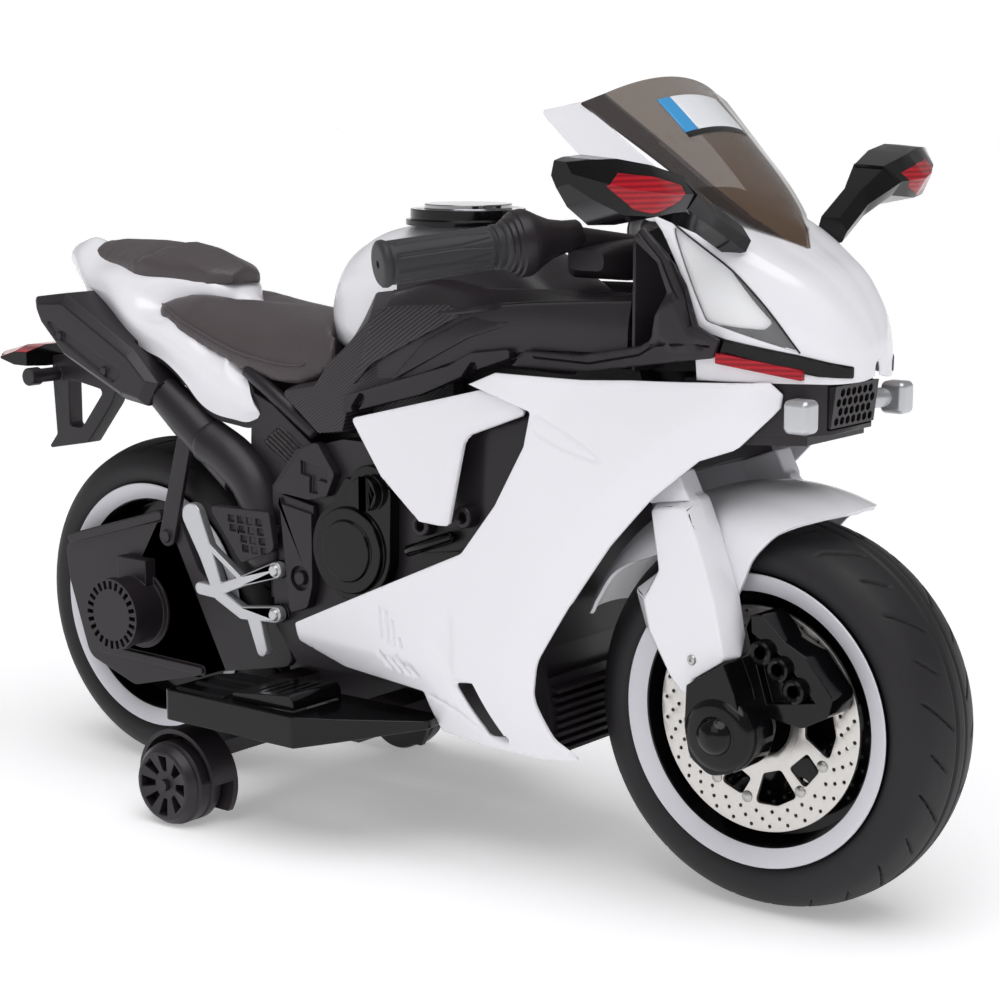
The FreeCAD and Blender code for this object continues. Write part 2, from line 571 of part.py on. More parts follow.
# Nose: a shell lofted from the cheeks to the beak, with the lamps cut out of the same surface.
NOSE = (
    (262, ((-90, 470), (-91, 520), (-86, 556), (-46, 574))),
    (312, ((-88, 464), (-88, 508), (-78, 545), (-34, 556))),
    (356, ((-74, 452), (-75, 490), (-64, 523), (-22, 530))),
    (390, ((-55, 442), (-56, 474), (-46, 500), (-14, 506))),
    (407, ((-42, 437), (-43, 462), (-34, 480), (-10, 484))),
    (415, ((-24, 435), (-24, 446), (-18, 458), (-5, 461))))
NOSE_FLOOR = 434.0


def nose_body(inset):
    sections = []
    for x, half in (NOSE[:-1] if inset > 0 else NOSE):
        right = [(min(y + inset, -2), z - inset) for y, z in half]
        floor = [(right[0][0], NOSE_FLOOR - 1 + inset)]
        points = floor + right
        points = points + [(-y, z) for y, z in reversed(points)]
        sections.append(outline(points, across(x)))
    return loft(sections)


HEADLIGHT = [(276, 552, 4), (298, 508, 20), (309, 474, 4), (378, 457, 3), (334, 508), (292, 548)]
nose_shell = nose_body(0).cut(nose_body(WALL + 1))
lamp_zone = slab(HEADLIGHT, 26, 120)
headlight = nose_shell.common(lamp_zone)
flank_top = [V(164, -99, 640), V(210, -101, 643), V(210, -98, 643), V(164, -96, 640)]
flank_low = [V(262, -86, 553), V(318, -62, 552), V(318, -59, 552), V(262, -83, 553)]
flank_rows = [[V(station(p.x), p.y, level(p.z)) for p in row] for row in (flank_top, flank_low)]
screen_flank = loft([Part.makePolygon(row + row[:1]) for row in flank_rows])
nose_cowl = fuse([nose_shell, screen_flank, mirrored(screen_flank)])
lamp_room = fuse([lamp_zone, mirrored(lamp_zone)])
nodes["headlights"] = pair(headlight)
nose_cowl = nose_cowl.cut([lamp_room, arm_room])

# Windscreen: a smoked sheet bowed across and lofted from the top edge down to its point on the nose.
SCREEN = (
    (212, 103, 643, 14, 20), (262, 82, 604, 14, 15), (306, 64, 570, 12, 9), (334, 46, 550, 9, 5),
    (350, 24, 538, 5, 3))


def screen_row(row, inset):
    x, half, z, bow, rise = row
    tilt = V(bow, 0, rise).normalize() * inset
    ends = [V(station(x), sign * (half - inset / 3), level(z)) - tilt for sign in (-1, 1)]
    peak = V(station(x) + bow, 0, level(z) + rise) - tilt
    return ends[0], peak, ends[1]


def screen_section(row):
    outer = screen_row(row, 0)
    inner = screen_row(row, SCREEN_WALL)
    edges = [
        Part.Arc(*outer).toShape(), Part.makeLine(outer[2], inner[2]),
        Part.Arc(*reversed(inner)).toShape(), Part.makeLine(inner[0], outer[0])]
    return Part.Wire(edges)


windscreen = loft([screen_section(row) for row in SCREEN], False)
nodes["windscreen"] = windscreen
nose_cowl = nose_cowl.cut(windscreen)
nodes["nose_cowl"] = nose_cowl

# Nose beam: the dark lower structure that carries the cowl, bolted to the frame's nose arm.
BEAM_PLAN = [(290, -72), (345, -72), (388, -48), (398, -30), (398, 30), (388, 48), (345, 72), (290, 72)]
beam = plan_slab(BEAM_PLAN, 392, NOSE_FLOOR - 1 - GAP)
BEAM_LOWER = [(318, -66), (350, -66), (384, -44), (384, 44), (350, 66), (318, 66)]
beam_lower = plan_slab(BEAM_LOWER, 384, 393)
grille_room = plan_slab([(390, -34), (420, -34), (420, 34), (390, 34)], 396, 430)
nodes["nose_beam"] = fuse([beam, beam_lower]).cut([arm_room, grille_room])

# Grille: a plate with a honeycomb of hexagonal holes in the front of the beam.
GRILLE_FRONT = 402.0
GRILLE = [(390.2, 398), (GRILLE_FRONT - 4, 397), (GRILLE_FRONT, 430), (390.2, 429)]
grille_plate = middle_slab(GRILLE, 33)
cells = []
for row in range(4):
    for column in range(-3, 4):
        y = 8.6 * column + (4.3 if row % 2 else 0)
        centre = V(station(GRILLE_FRONT - 8), y, level(402) + 7.4 * row)
        turns = [math.radians(60 * k) for k in range(6)]
        ring = [centre + V(0, 3.6 * math.sin(turn), 3.6 * math.cos(turn)) for turn in turns]
        hexagon = Part.Face(Part.makePolygon(ring + ring[:1])).extrude(V(10, 0, 0))
        if abs(y) < 29:
            cells.append(hexagon)
nodes["nose_grille"] = grille_plate.cut(cells)

# Running lamps, cheeks and fog lamps on the sides of the beam.
lamp_strip = loft([
    outline([(-92, 448), (-92, 456), (-84, 456), (-84, 448)], across(330)),
    outline([(-62, 436), (-62, 444), (-48, 444), (-48, 436)], across(388))])
nodes["running_lamps"] = pair(lamp_strip.cut(nose_body(-GAP)).cut(nose_cowl))
FOG = (22.0, 20.0, 26.0)
fog_corner = side(-84)(385, 398)
fog_box = Part.makeBox(*FOG, fog_corner)
fog_box = fog_box.makeFillet(5, fog_box.Edges)
fog_stub = Part.makeCylinder(8, 34, fog_corner + V(6, 12, 13), V(-0.35, 0.94, 0))
nodes["fog_lamps"] = pair(fuse([fog_box, fog_stub]).cut([nodes["nose_beam"], fairing]))

# Nose side frames: the dark double strip behind each headlight, running into the trim along the fairing.
SIDE_FRAME = [
    (248, 536, 3), (258, 547, 3), (284, 508), (298, 474, 6), (334, 456, 3), (330, 446, 3), (214, 432),
    (136, 431.5), (150, 446), (204, 445), (266, 458), (276, 494)]
FRAME_INNER = 92.4
side_frame = slab(SIDE_FRAME, FRAME_INNER, FRAME_INNER + 6)
nodes["nose_side_frames"] = pair(side_frame.cut(nose_body(-GAP)))

# Dash panel: an upright plate on the nose arm with windows for the two rocker switches.
DASH_HALF = 56.0
ROCKER_RADIUS = 8.0
ROCKER_LENGTH = 13.0
ROCKER_Z = 516.0
DASH_TOP = ROCKER_Z + 30
DASH = [(244, 470.2), (250, 470.2), (250, DASH_TOP, 2), (244, DASH_TOP, 2)]
ROCKER_OFFSETS = {"power_switch": -28.0, "direction_switch": 28.0}
dash = middle_slab(DASH, DASH_HALF)
room_radius = ROCKER_RADIUS + PART_GAP
for name, offset in ROCKER_OFFSETS.items():
    centre = side(offset - ROCKER_LENGTH / 2)(247, ROCKER_Z)
    room = Part.makeBox(30, ROCKER_LENGTH + 2 * PART_GAP, 2 * room_radius)
    room.translate(centre - V(15, PART_GAP, room_radius))
    dash = dash.cut(room)
    rocker = Part.makeCylinder(ROCKER_RADIUS, ROCKER_LENGTH, centre, V(0, 1, 0))
    upper = Part.makeBox(20, ROCKER_LENGTH, 30, centre - V(25, 0, 0))
    upper.rotate(centre - V(6, 0, 0), V(0, 1, 0), 12)
    nodes[name] = rocker.cut(upper)
nodes["dash_panel"] = dash

# Mirrors: a wedge housing on a stalk from the cowl, with a red lens let into the front face. Rows give
# y, the back and front stations and the low and high edges.
MIRROR_STALK = ((-72, 320, 348, 528, 552), (-112, 318, 344, 547, 573), (-152, 300, 352, 562, 592))
MIRROR_CUP = (
    (-148, 304, 350, 562, 592), (-190, 290, 354, 556, 602), (-220, 290, 344, 557, 607),
    (-245, 294, 332, 571, 606), (-262, 302, 320, 585, 604))
MIRROR_RING = ((0, 0.45), (0.25, 0), (0.84, 0.16), (1, 0.52), (0.72, 0.95), (0.14, 1))
LENS_EDGE = ((-240, 586), (-226, 595), (-196, 592), (-163, 585), (-170, 573), (-195, 565), (-215, 569))


def mirror_section(row):
    y, back, front, low, high = row
    ring = [(back + a * (front - back), low + b * (high - low)) for a, b in MIRROR_RING]
    return outline(ring, side(y))


stalk = loft([mirror_section(row) for row in MIRROR_STALK])
cup = loft([mirror_section(row) for row in MIRROR_CUP])
lens_zone = Part.Face(outline(LENS_EDGE, across(322))).extrude(V(80, 0, 0))
mirror = fuse([stalk, cup]).cut([nose_cowl, windscreen, lens_zone])
lens = cup.common(lens_zone)
nodes["mirror_right"] = mirror
nodes["mirror_left"] = mirrored(mirror)
nodes["mirror_lenses"] = pair(lens)

# Seat: a sewn pad with a crowned top, drawn-in sides, a shallow middle channel and a notched back.
SEAT = (
    (-306, 40, 438.6, 452, 8),
    (-268, 66, 426, 461, 9),
    (-190, 68, 401, 456, 8),
    (-124, 62, 393.8, 448, 7),
    (-88, 46, 418, 446, 6))
SEAT_ROUND = 6.0


def seat_section(row):
    x, half, low, high, crown = row
    plane = across(x)
    edge = high - SEAT_ROUND
    tuck = 0.1 * (high - low)
    right = [plane(-half, low), plane(-half + tuck, (low + edge) / 2), plane(-half + tuck / 2, edge)]
    left = [plane(half, low), plane(half - tuck, (low + edge) / 2), plane(half - tuck / 2, edge)]
    edges = [
        Part.Arc(*right).toShape(),
        Part.Arc(right[2], plane(-half / 2, high + 0.6 * crown), plane(-2, high)).toShape(),
        Part.makeLine(plane(-2, high), plane(2, high)),
        Part.Arc(plane(2, high), plane(half / 2, high + 0.6 * crown), left[2]).toShape(),
        Part.Arc(*reversed(left)).toShape(), Part.makeLine(left[0], right[0])]
    return Part.Wire(edges)


seat = loft([seat_section(row) for row in SEAT])
notch = plan_slab([(-330, -24), (-262, 0), (-330, 24)], 380, 500)
seat = seat.cut(notch).cut(middle_slab(TANK_TOP, TANK_HALF + 4))

# Tail cowl: a lofted hump with arms that sweep down and forward on both sides of the seat.
TAIL = (
    (-478, 16, 478, 488, 492),
    (-440, 36, 464, 494, 502),
    (-392, 50, 446, 496, 506),
    (-340, 60, 424, 486, 494),
    (-262, 66, 412, 460, 476))


def tail_section(row):
    x, half, low, shoulder, top = row
    right = [(-half + 6, low), (-half, (low + shoulder) / 2), (-half + 3, shoulder), (-half + 16, top)]
    return outline(right + [(-y, z) for y, z in reversed(right)], across(x))


TAIL_ARM = [
    (-330, 424), (-300, 443), (-194, 399, 4), (-158, 372, 8), (-170, 357, 6), (-240, 370), (-292, 402),
    (-330, 414)]
tail_hump = loft([tail_section(row) for row in TAIL])
tail_arm = slab(TAIL_ARM, 60, 73)
RAIL_ROOM = [(-440, 454), (-300, 436.2), (-190, 400), (-120, 392.2), (-100, 300), (-440, 300)]
rail_room = middle_slab(RAIL_ROOM, RAIL_HALF + GAP)


def seat_room_section(row):
    x, half, low, high, crown = row
    reach = half + SEAT_GAP
    corners = [(-reach, low - SEAT_GAP), (-reach, high + 40), (reach, high + 40), (reach, low - SEAT_GAP)]
    return outline(corners, across(x))


seat_room = loft([seat_room_section(row) for row in SEAT])
nodes["tank_sides"] = pair(tank_side.cut(seat_room))
tail_cowl = fuse([tail_hump, tail_arm, mirrored(tail_arm)]).cut([rail_room, seat_room])
hollow_rows = [(x, half - 4, low - 30, shoulder - 8, top - 12) for x, half, low, shoulder, top in TAIL[1:]]
under_hollow = loft([tail_section(row) for row in hollow_rows])
rail_rest = middle_slab([(-432, 452), (-300, 436), (-300, 520), (-432, 520)], RAIL_HALF)
tail_cowl = tail_cowl.cut(under_hollow.cut(rail_rest))

# Pillion pad: a faceted pad on the hump, split by a strap crease.
PAD = ((-446, 18, 503), (-362, 40, 500), (-358, 40, 499), (-268, 26, 482))


def pad_section(row):
    x, half, high = row
    right = [(-half, high - 22), (-half + 3, high - 3), (-half + 12, high + 5)]
    return outline(right + [(-y, z) for y, z in reversed(right)], across(x))


pad_body = loft([pad_section(row) for row in PAD])
pad_crease = middle_slab([(-363, 520), (-357, 520), (-357, 502), (-363, 502)], 60)
pillion_pad = pad_body.cut(tail_hump).cut(pad_crease)
nodes["pillion_pad"] = pillion_pad
nodes["seat"] = max(seat.Solids, key=lambda solid: solid.Volume)
nodes["tail_cowl"] = max(tail_cowl.Solids, key=lambda solid: solid.Volume)

# Silencers: slanted boxes under the tail with a sunk plate, an eight-sided end and a cone to the pipe.
SILENCER = [
    (-456, 456, 4), (-446, 434, 6), (-414, 402), (-330, 366, 6), (-300, 362), (-286, 384), (-318, 414),
    (-410, 462)]
SILENCER_FACE = [
    (-446, 450, 4), (-438, 434, 6), (-408, 406), (-330, 374, 6), (-306, 370), (-296, 386), (-322, 408),
    (-408, 452)]
SILENCER_PLATE = [(-432, 437, 5), (-424, 424, 5), (-340, 382, 5), (-326, 392, 5)]
SILENCER_LUG = [(-398, 420), (-366, 416), (-366, 430), (-398, 436)]
SILENCER_INNER = 46.0
SILENCER_OUTER = 92.0
silencer_body = slab(SILENCER, SILENCER_INNER, SILENCER_OUTER - 8)
silencer_face = tapered(SILENCER, SILENCER_OUTER - 8, SILENCER_FACE, SILENCER_OUTER)
silencer_plate = slab(SILENCER_PLATE, SILENCER_OUTER - 2.5, SILENCER_OUTER)
silencer_lug = slab(SILENCER_LUG, RAIL_HALF + GAP, SILENCER_INNER + 2)
silencer = fuse([silencer_body, silencer_face, silencer_lug]).cut(silencer_plate)
silencer_bolts = [rod(x, z, 4, SILENCER_OUTER - 6, SILENCER_OUTER + 1) for x, z in ((-413, 421), (-352, 392))]
silencer = fuse([silencer] + silencer_bolts).cut(tail_cowl)
nodes["silencers"] = pair(max(silencer.Solids, key=lambda solid: solid.Volume))

# Exhaust pipes: a cone from the silencer and a fat bend that runs down behind the heel guard.
PIPE_Y = 67.0
PIPE_RADIUS = 20.0
pipe_way = V(0.83, 0, -0.557).normalize()
pipe_start = side(-PIPE_Y)(-296, 374)
cone = Part.makeCone(PIPE_RADIUS - 3, PIPE_RADIUS, 40, pipe_start, pipe_way)
bend_start = pipe_start + pipe_way * 40
bend_chord = side(-PIPE_Y)(-196, 304) - bend_start
bend_inward = V(pipe_way.z, 0, -pipe_way.x)
bend_radius = bend_chord.Length ** 2 / (2 * bend_chord.dot(bend_inward))
bend_centre = bend_start + bend_inward * bend_radius
bend_angle = math.degrees(2 * math.asin(bend_chord.Length / (2 * bend_radius)))
bend_face = Part.Face(Part.Wire(Part.makeCircle(PIPE_RADIUS, bend_start, pipe_way)))
bend = bend_face.revolve(bend_centre, V(0, 1, 0), bend_angle)
pipe = fuse([cone, bend]).cut(silencer).cut(tail_cowl)
nodes["exhaust_pipes"] = pair(max(pipe.Solids, key=lambda solid: solid.Volume))

# Plate bracket and tail lamp: a web under the tail with an open triangle, stubs and a pointed lens.
LAMP_TIP = -586.0
WEB_HALF_WIDTH = 9.0
BRACKET = [
    (-404, 421.4), (-431, 431.2), (-450, 396), (-520, 388, 4), (-520, 366, 4), (-516, 308, 4), (-530, 292, 2),
    (-470, 303, 4), (-434, 345), (-404, 400)]
BRACKET_WINDOW = [(-496, 366, 4), (-496, 318, 4), (-478, 318, 6), (-444, 358, 4)]
bracket = middle_slab(BRACKET, WEB_HALF_WIDTH).cut(middle_slab(BRACKET_WINDOW, WEB_HALF_WIDTH + 1))
stub = rod(-512, 370, 7, -44, 44)
plate_bracket = fuse([bracket, stub, rod(-512, 370, 9, 34, 48), rod(-512, 370, 9, -48, -34)])
LAMP = [(LAMP_TIP, 384), (LAMP_TIP, 388), (-548, 398, 10), (-520.2, 400), (-520.2, 378), (-545, 377, 10)]
LAMP_SIDE = [(-560, 385), (-560, 387), (-540, 393, 4), (-520.2, 394), (-520.2, 380), (-540, 380, 4)]
lamp_middle = middle_slab(LAMP, 16)
lamp_wing = tapered(LAMP, 16, LAMP_SIDE, 42)
nodes["tail_lamp"] = fuse([lamp_middle, lamp_wing, mirrored(lamp_wing)])
nodes["plate_bracket"] = plate_bracket

# Swingarm plates: pressed plates on both sides of the rear tyre, pivoted low on the spine.
SWING = [
    (-449, 207, 8), (-435, 222, 3), (-310, 259, 6), (-286, 250, 8), (-262, 205, 20), (-206, 176, 14),
    (-152, 172, 12), (-143, 132, 10), (-230, 114), (-285, 99), (-355, 81, 14), (-419, 101, 20), (-445, 174, 30)]
PIVOT = (-155, 148)
swing_plate = slab(SWING, SWING_INNER, SWING_OUTER)
swing_rail = bar((-436, 218), (-312, 254), 9, 9, SWING_OUTER, SWING_OUTER + 5)
swing_rib = bar((-396, 112), (-262, 110), 8, 8, SWING_OUTER, SWING_OUTER + 4)
swing_pivot = rod(*PIVOT, 12, FRAME_HALF + GAP, SWING_INNER + 1)
swing_bore = axle_rod(REAR_X, AXLE_RADIUS + RUN_FIT, SWING_INNER - 1, SWING_OUTER + 1)
swing_room = slab(ENGINE_OUTLINE, SWING_INNER - 1 - GAP, ENGINE_HALF)
swing = fuse([swing_plate, swing_rail, swing_rib, swing_pivot]).cut([swing_bore, swing_room] + cross_bars)
nodes["swingarms"] = pair(max(swing.Solids, key=lambda solid: solid.Volume))

# Drive motors: round housings on the swingarm plates in line with the axle, with finned end caps.
motor_base = SWING_OUTER + GAP
motor_end = motor_base + MOTOR_LENGTH
motor = axle_rod(REAR_X, MOTOR_RADIUS, motor_base, motor_end)
motor_foot = axle_rod(REAR_X, MOTOR_RADIUS + 6, motor_base, motor_base + 4)
motor_flat = Part.makeBox(40, 14, 24, V(REAR_X - 20, -motor_base - 14, AXLE_Z + MOTOR_RADIUS - 6))
nodes["drive_motors"] = pair(fuse([motor, motor_foot, motor_flat]))
cap = axle_rod(REAR_X, MOTOR_RADIUS + 2, motor_end + GAP, motor_end + CAP_DEPTH)
fins = []
for count in range(24):
    corner = V(REAR_X + MOTOR_RADIUS - 8, -motor_end - CAP_DEPTH - 2, AXLE_Z - 2)
    fin = Part.makeBox(8, CAP_DEPTH, 4, corner)
    fin.rotate(V(REAR_X, 0, AXLE_Z), V(0, 1, 0), 15 * count)
    fins.append(fin)
nodes["motor_caps"] = pair(cap.cut(fins))

# Rear struts: flat straps from the seat rail down to the swingarm plates.
STRUT_FOOT = (-300, 236)
strut_inner = SWING_OUTER + GAP
strut = fuse([
    bar((-268, 352), STRUT_FOOT, 18, 20, strut_inner, strut_inner + 5),
    slab([(-276, 352), (-258, 352), (-258, 366), (-276, 366)], RAIL_HALF + GAP, strut_inner + 5),
    rod(*STRUT_FOOT, 6, strut_inner, strut_inner + 8)])
strut_room = [swing, nodes["exhaust_pipes"], nodes["silencers"], tail_cowl]
nodes["rear_struts"] = pair(max(strut.cut(strut_room).Solids, key=lambda solid: solid.Volume))

# Footrest hangers: forked silver castings bolted to the casing behind the rider's heel.
HANGER_BOLTS = ((-135, 228), (-136, 187))
hanger_outer = HANGER_INNER + HANGER_PLATE
HANGER_BARS = (
    ((-240, 266), (-222, 232), 24, 18), ((-222, 232), (-207, 198), 18, 14), ((-211, 199), (-176, 213), 11, 10),
    ((-176, 213), HANGER_BOLTS[0], 10, 15), ((-207, 196), (-178, 183), 12, 12),
    ((-178, 183), HANGER_BOLTS[1], 12, 15), ((-163, 182), (-153, 152), 17, 13), ((-222, 242), (-178, 214), 5, 5),
    ((-231, 199), (-208, 198), 12, 12))
hanger = [bar(start, end, first, last, HANGER_INNER, hanger_outer) for start, end, first, last in HANGER_BARS]
hanger += [rod(x, z, 7, clutch_face, HANGER_INNER) for x, z in HANGER_BOLTS]
hanger += [rod(x, z, 5, hanger_outer, hanger_outer + 3) for x, z in HANGER_BOLTS]
nodes["footrest_hangers"] = pair(fuse(hanger))

# Heel guards: dark plates with a sunk grid, held off the casing by a boss.
HEEL = [(-217, 279, 4), (-140, 281, 6), (-134, 246, 8), (-176, 230, 6)]
heel = slab(HEEL, HANGER_INNER + 2, hanger_outer + 1)
grid = []
for row in range(4):
    for column in range(4 - row // 2):
        x = -153 - 11.5 * column + 2 * row
        z = 270 - 8.6 * row
        cell = [(x - 4, z - 3), (x + 4, z - 3), (x + 4, z + 3), (x - 4, z + 3)]
        grid.append(slab(cell, hanger_outer - 2, hanger_outer + 1))
nodes["heel_guards"] = pair(fuse([heel.cut(grid), rod(-141, 263, 5, clutch_face, HANGER_INNER + 2)]))

# Footboards: hollow trays on the cross bars; the right one has an opening for the pedal.
BOARD_BASE = 100.0
BOARD = [
    (-190, -112, 8), (-190, -BOARD_OUTER, 6), (-34, -BOARD_OUTER, 12), (0, -160, 12), (66, -116, 8),
    (60, -BOARD_INNER), (-176, -BOARD_INNER)]
BOARD_HOLLOW = [
    (-186, -110), (-186, -BOARD_OUTER + BOARD_WALL), (-36, -BOARD_OUTER + BOARD_WALL), (-3, -157), (58, -116),
    (58, -BOARD_INNER + 1), (-176, -BOARD_INNER + 1)]
PEDAL = (-112, -44)
PEDAL_Y = (104, 166)
BOARD_RAMP = [(-34, BOARD_BASE - 1), (70, BOARD_BASE - 1), (70, BOARD_BASE + 22), (-34, BOARD_BASE)]
board = plan_slab(BOARD, BOARD_BASE, BOARD_TOP)
board_hollow = plan_slab(BOARD_HOLLOW, BOARD_BASE - 1, BOARD_TOP - BOARD_WALL)
board = board.cut([board_hollow, slab(BOARD_RAMP, BOARD_INNER - 2, BOARD_OUTER + 2)])
tread = []
for count in range(3):
    y = 110 + 24 * count
    strip = [(-182, -y - 12), (-124, -y - 12), (-124, -y), (-182, -y)]
    tread.append(plan_slab(strip, BOARD_TOP - 0.5, BOARD_TOP + 2))
board = fuse([board] + tread)
board = board.cut([fairing, nodes["belly_shroud"]])
board = max(board.Solids, key=lambda solid: solid.Volume)
PEDAL_ROOM = [
    (PEDAL[0] - 6, -PEDAL_Y[1] - PART_GAP), (PEDAL[1] + 1, -PEDAL_Y[1] - PART_GAP),
    (PEDAL[1] + 1, -PEDAL_Y[0] + PART_GAP), (PEDAL[0] - 6, -PEDAL_Y[0] + PART_GAP)]
pedal_room = plan_slab(PEDAL_ROOM, BOARD_TOP - BOARD_WALL - 1, BOARD_TOP + 1)
nodes["footboard_right"] = board.cut(pedal_room)
nodes["footboard_left"] = mirrored(board)

# Foot pedal: a ribbed wedge hinged at its back edge, dipping into the opening of the right board.
PEDAL_PIVOT = (PEDAL[0], BOARD_TOP + 2)
PEDAL_PIN = 5.0
pedal_body = slab([
    (PEDAL[0], BOARD_TOP - 2.4), (PEDAL[0], BOARD_TOP + 7), (PEDAL[1] - 4, BOARD_TOP + 14, 4),
    (PEDAL[1], BOARD_TOP + 8), (PEDAL[1], BOARD_TOP + 0.5)], *PEDAL_Y)
pedal_pin = rod(*PEDAL_PIVOT, PEDAL_PIN, *PEDAL_Y)
grooves = []
for count in range(4):
    x = PEDAL[0] + 14 + 12 * count
    cut = [(x, BOARD_TOP + 20), (x + 4, BOARD_TOP + 20), (x + 4, BOARD_TOP + 7), (x, BOARD_TOP + 7)]
    grooves.append(slab(cut, PEDAL_Y[0] + 8, PEDAL_Y[1] - 8))
nodes["foot_pedal"] = fuse([pedal_body, pedal_pin]).cut(grooves)

# Training wheels: ribbed plastic wheels with eight windows on stub pins.
TRAIN_X = station(-193)
TRAIN_OUTER = TRAIN_INNER + TRAIN_WIDTH


def training_wheel():
    ribs = [
        (TRAIN_RADIUS - 1.5, TRAIN_INNER), (TRAIN_RADIUS, TRAIN_INNER + 3), (TRAIN_RADIUS, TRAIN_INNER + 11),
        (TRAIN_RADIUS - 3, TRAIN_INNER + 13), (TRAIN_RADIUS, TRAIN_INNER + 15),
        (TRAIN_RADIUS, TRAIN_OUTER - 12), (TRAIN_RADIUS - 3, TRAIN_OUTER - 10),
        (TRAIN_RADIUS - 1, TRAIN_OUTER - 8), (TRAIN_RADIUS - 6, TRAIN_OUTER - 1)]
    bore = TRAIN_PIN + RUN_FIT
    face = [(29, TRAIN_OUTER), (12, TRAIN_OUTER - 4), (bore, TRAIN_OUTER - 4), (bore, TRAIN_INNER)]
    profile = [(radius, -y) for radius, y in ribs + face]
    wheel = turned(profile, TRAIN_X, TRAIN_RADIUS)
    pockets = []
    for count in range(8):
        centre = V(TRAIN_X, -TRAIN_OUTER - 1, TRAIN_RADIUS)
        corners = [centre + V(x, 0, z) for x, z in ((13, -2.4), (27, -5.4), (27, 5.4), (13, 2.4))]
        pocket = Part.Face(Part.makePolygon(corners + corners[:1])).extrude(V(0, 14, 0))
        pocket.rotate(V(TRAIN_X, 0, TRAIN_RADIUS), V(0, 1, 0), 45 * count)
        pockets.append(pocket)
    return wheel.cut(pockets)


wheel = training_wheel()
nodes["training_wheel_right"] = wheel
nodes["training_wheel_left"] = mirrored(wheel)

# Training brackets: one cross beam under the spine with an arched guard and a stub pin at each end.
BEAM_TOP = 72.0
GUARD_PLATE = TRAIN_INNER - 4
guard_centre = V(TRAIN_X, -GUARD_PLATE, TRAIN_RADIUS)
guard_arch = Part.makeCylinder(TRAIN_RADIUS + 10, 6, guard_centre + V(0, 6, 0), V(0, -1, 0))
guard_rim = Part.makeCylinder(TRAIN_RADIUS + 10, 24, guard_centre, V(0, -1, 0))
guard_rim = guard_rim.cut(Part.makeCylinder(TRAIN_RADIUS + 6, 24, guard_centre, V(0, -1, 0)))
rim_zone = Part.makeBox(120, 60, 80, V(TRAIN_X - 60, -GUARD_PLATE - 40, TRAIN_RADIUS + 4))
floor_zone = Part.makeBox(140, 140, 30, V(TRAIN_X - 70, -GUARD_PLATE - 60, -18))
train_pin = Part.makeCylinder(TRAIN_PIN, TRAIN_WIDTH + 4, guard_centre, V(0, -1, 0))
arm_top = level(BEAM_TOP)
train_arm = Part.makeBox(28, GUARD_PLATE - 2, 14, V(TRAIN_X - 3, -GUARD_PLATE + 2, arm_top - 14))
train_post = Part.makeBox(28, 4, arm_top - TRAIN_RADIUS, V(TRAIN_X - 3, -GUARD_PLATE + 2, TRAIN_RADIUS))
bracket_half = fuse([guard_arch.cut(floor_zone), guard_rim.common(rim_zone), train_pin, train_arm, train_post])
nodes["training_brackets"] = fuse([bracket_half, mirrored(bracket_half)])

# The bike stands with its origin under the middle of its box, so everything moves along X to suit.
front_end = FRONT_X + TYRE_RADIUS
back_end = station(LAMP_TIP)
shift = V(-(front_end + back_end) / 2, 0, 0)
os.makedirs("parts", exist_ok=True)
for name, shape in nodes.items():
    placed = shape.copy()
    placed.translate(shift)
    placed.exportStep("parts/" + name + ".step")
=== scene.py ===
import bmesh
import bpy
import json
import math
import numpy as np
from mathutils import Matrix, Vector, geometry

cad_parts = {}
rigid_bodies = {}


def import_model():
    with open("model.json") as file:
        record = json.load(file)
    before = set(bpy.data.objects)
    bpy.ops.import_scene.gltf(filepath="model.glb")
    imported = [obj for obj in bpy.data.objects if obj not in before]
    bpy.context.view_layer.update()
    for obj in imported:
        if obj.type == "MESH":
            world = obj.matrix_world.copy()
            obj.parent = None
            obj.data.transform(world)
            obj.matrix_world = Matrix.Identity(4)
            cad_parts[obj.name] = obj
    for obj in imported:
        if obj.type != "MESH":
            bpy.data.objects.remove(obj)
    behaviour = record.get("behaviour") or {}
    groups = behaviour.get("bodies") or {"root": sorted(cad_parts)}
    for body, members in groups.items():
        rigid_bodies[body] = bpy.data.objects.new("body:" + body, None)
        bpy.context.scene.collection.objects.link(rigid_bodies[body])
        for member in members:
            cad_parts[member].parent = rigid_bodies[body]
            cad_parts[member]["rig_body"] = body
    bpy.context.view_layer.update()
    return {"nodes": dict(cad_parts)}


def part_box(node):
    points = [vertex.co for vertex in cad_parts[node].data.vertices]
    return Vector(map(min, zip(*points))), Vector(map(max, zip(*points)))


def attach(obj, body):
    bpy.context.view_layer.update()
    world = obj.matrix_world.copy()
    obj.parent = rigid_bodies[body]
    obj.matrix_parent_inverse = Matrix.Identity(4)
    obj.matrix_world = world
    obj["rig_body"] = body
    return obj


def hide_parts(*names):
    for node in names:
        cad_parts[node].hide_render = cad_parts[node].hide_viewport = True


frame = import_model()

# Kids electric motorbike, put together from the frame outwards. Sizes are in millimetres: x counts
# forward from the middle of the wheelbase, y to the rider's left and z up from the floor.


# Main frame, engine halves, belly shroud and training bracket: polypropylene mouldings screwed together
# round the battery. The mould is spark eroded, so the black plastic has an even satin grain.

def linear(code):
    channels = [int(code[start:start + 2], 16) / 255 for start in (1, 3, 5)]
    return tuple(c / 12.92 if c <= 0.04045 else ((c + 0.055) / 1.055) ** 2.4 for c in channels) + (1.0,)


def add(tree, kind, inputs=None, **settings):
    node = tree.nodes.new(kind)
    for name, value in settings.items():
        setattr(node, name, value)
    for name, value in (inputs or {}).items():
        if isinstance(value, bpy.types.NodeSocket):
            tree.links.new(value, node.inputs[name])
        else:
            node.inputs[name].default_value = value
    return node


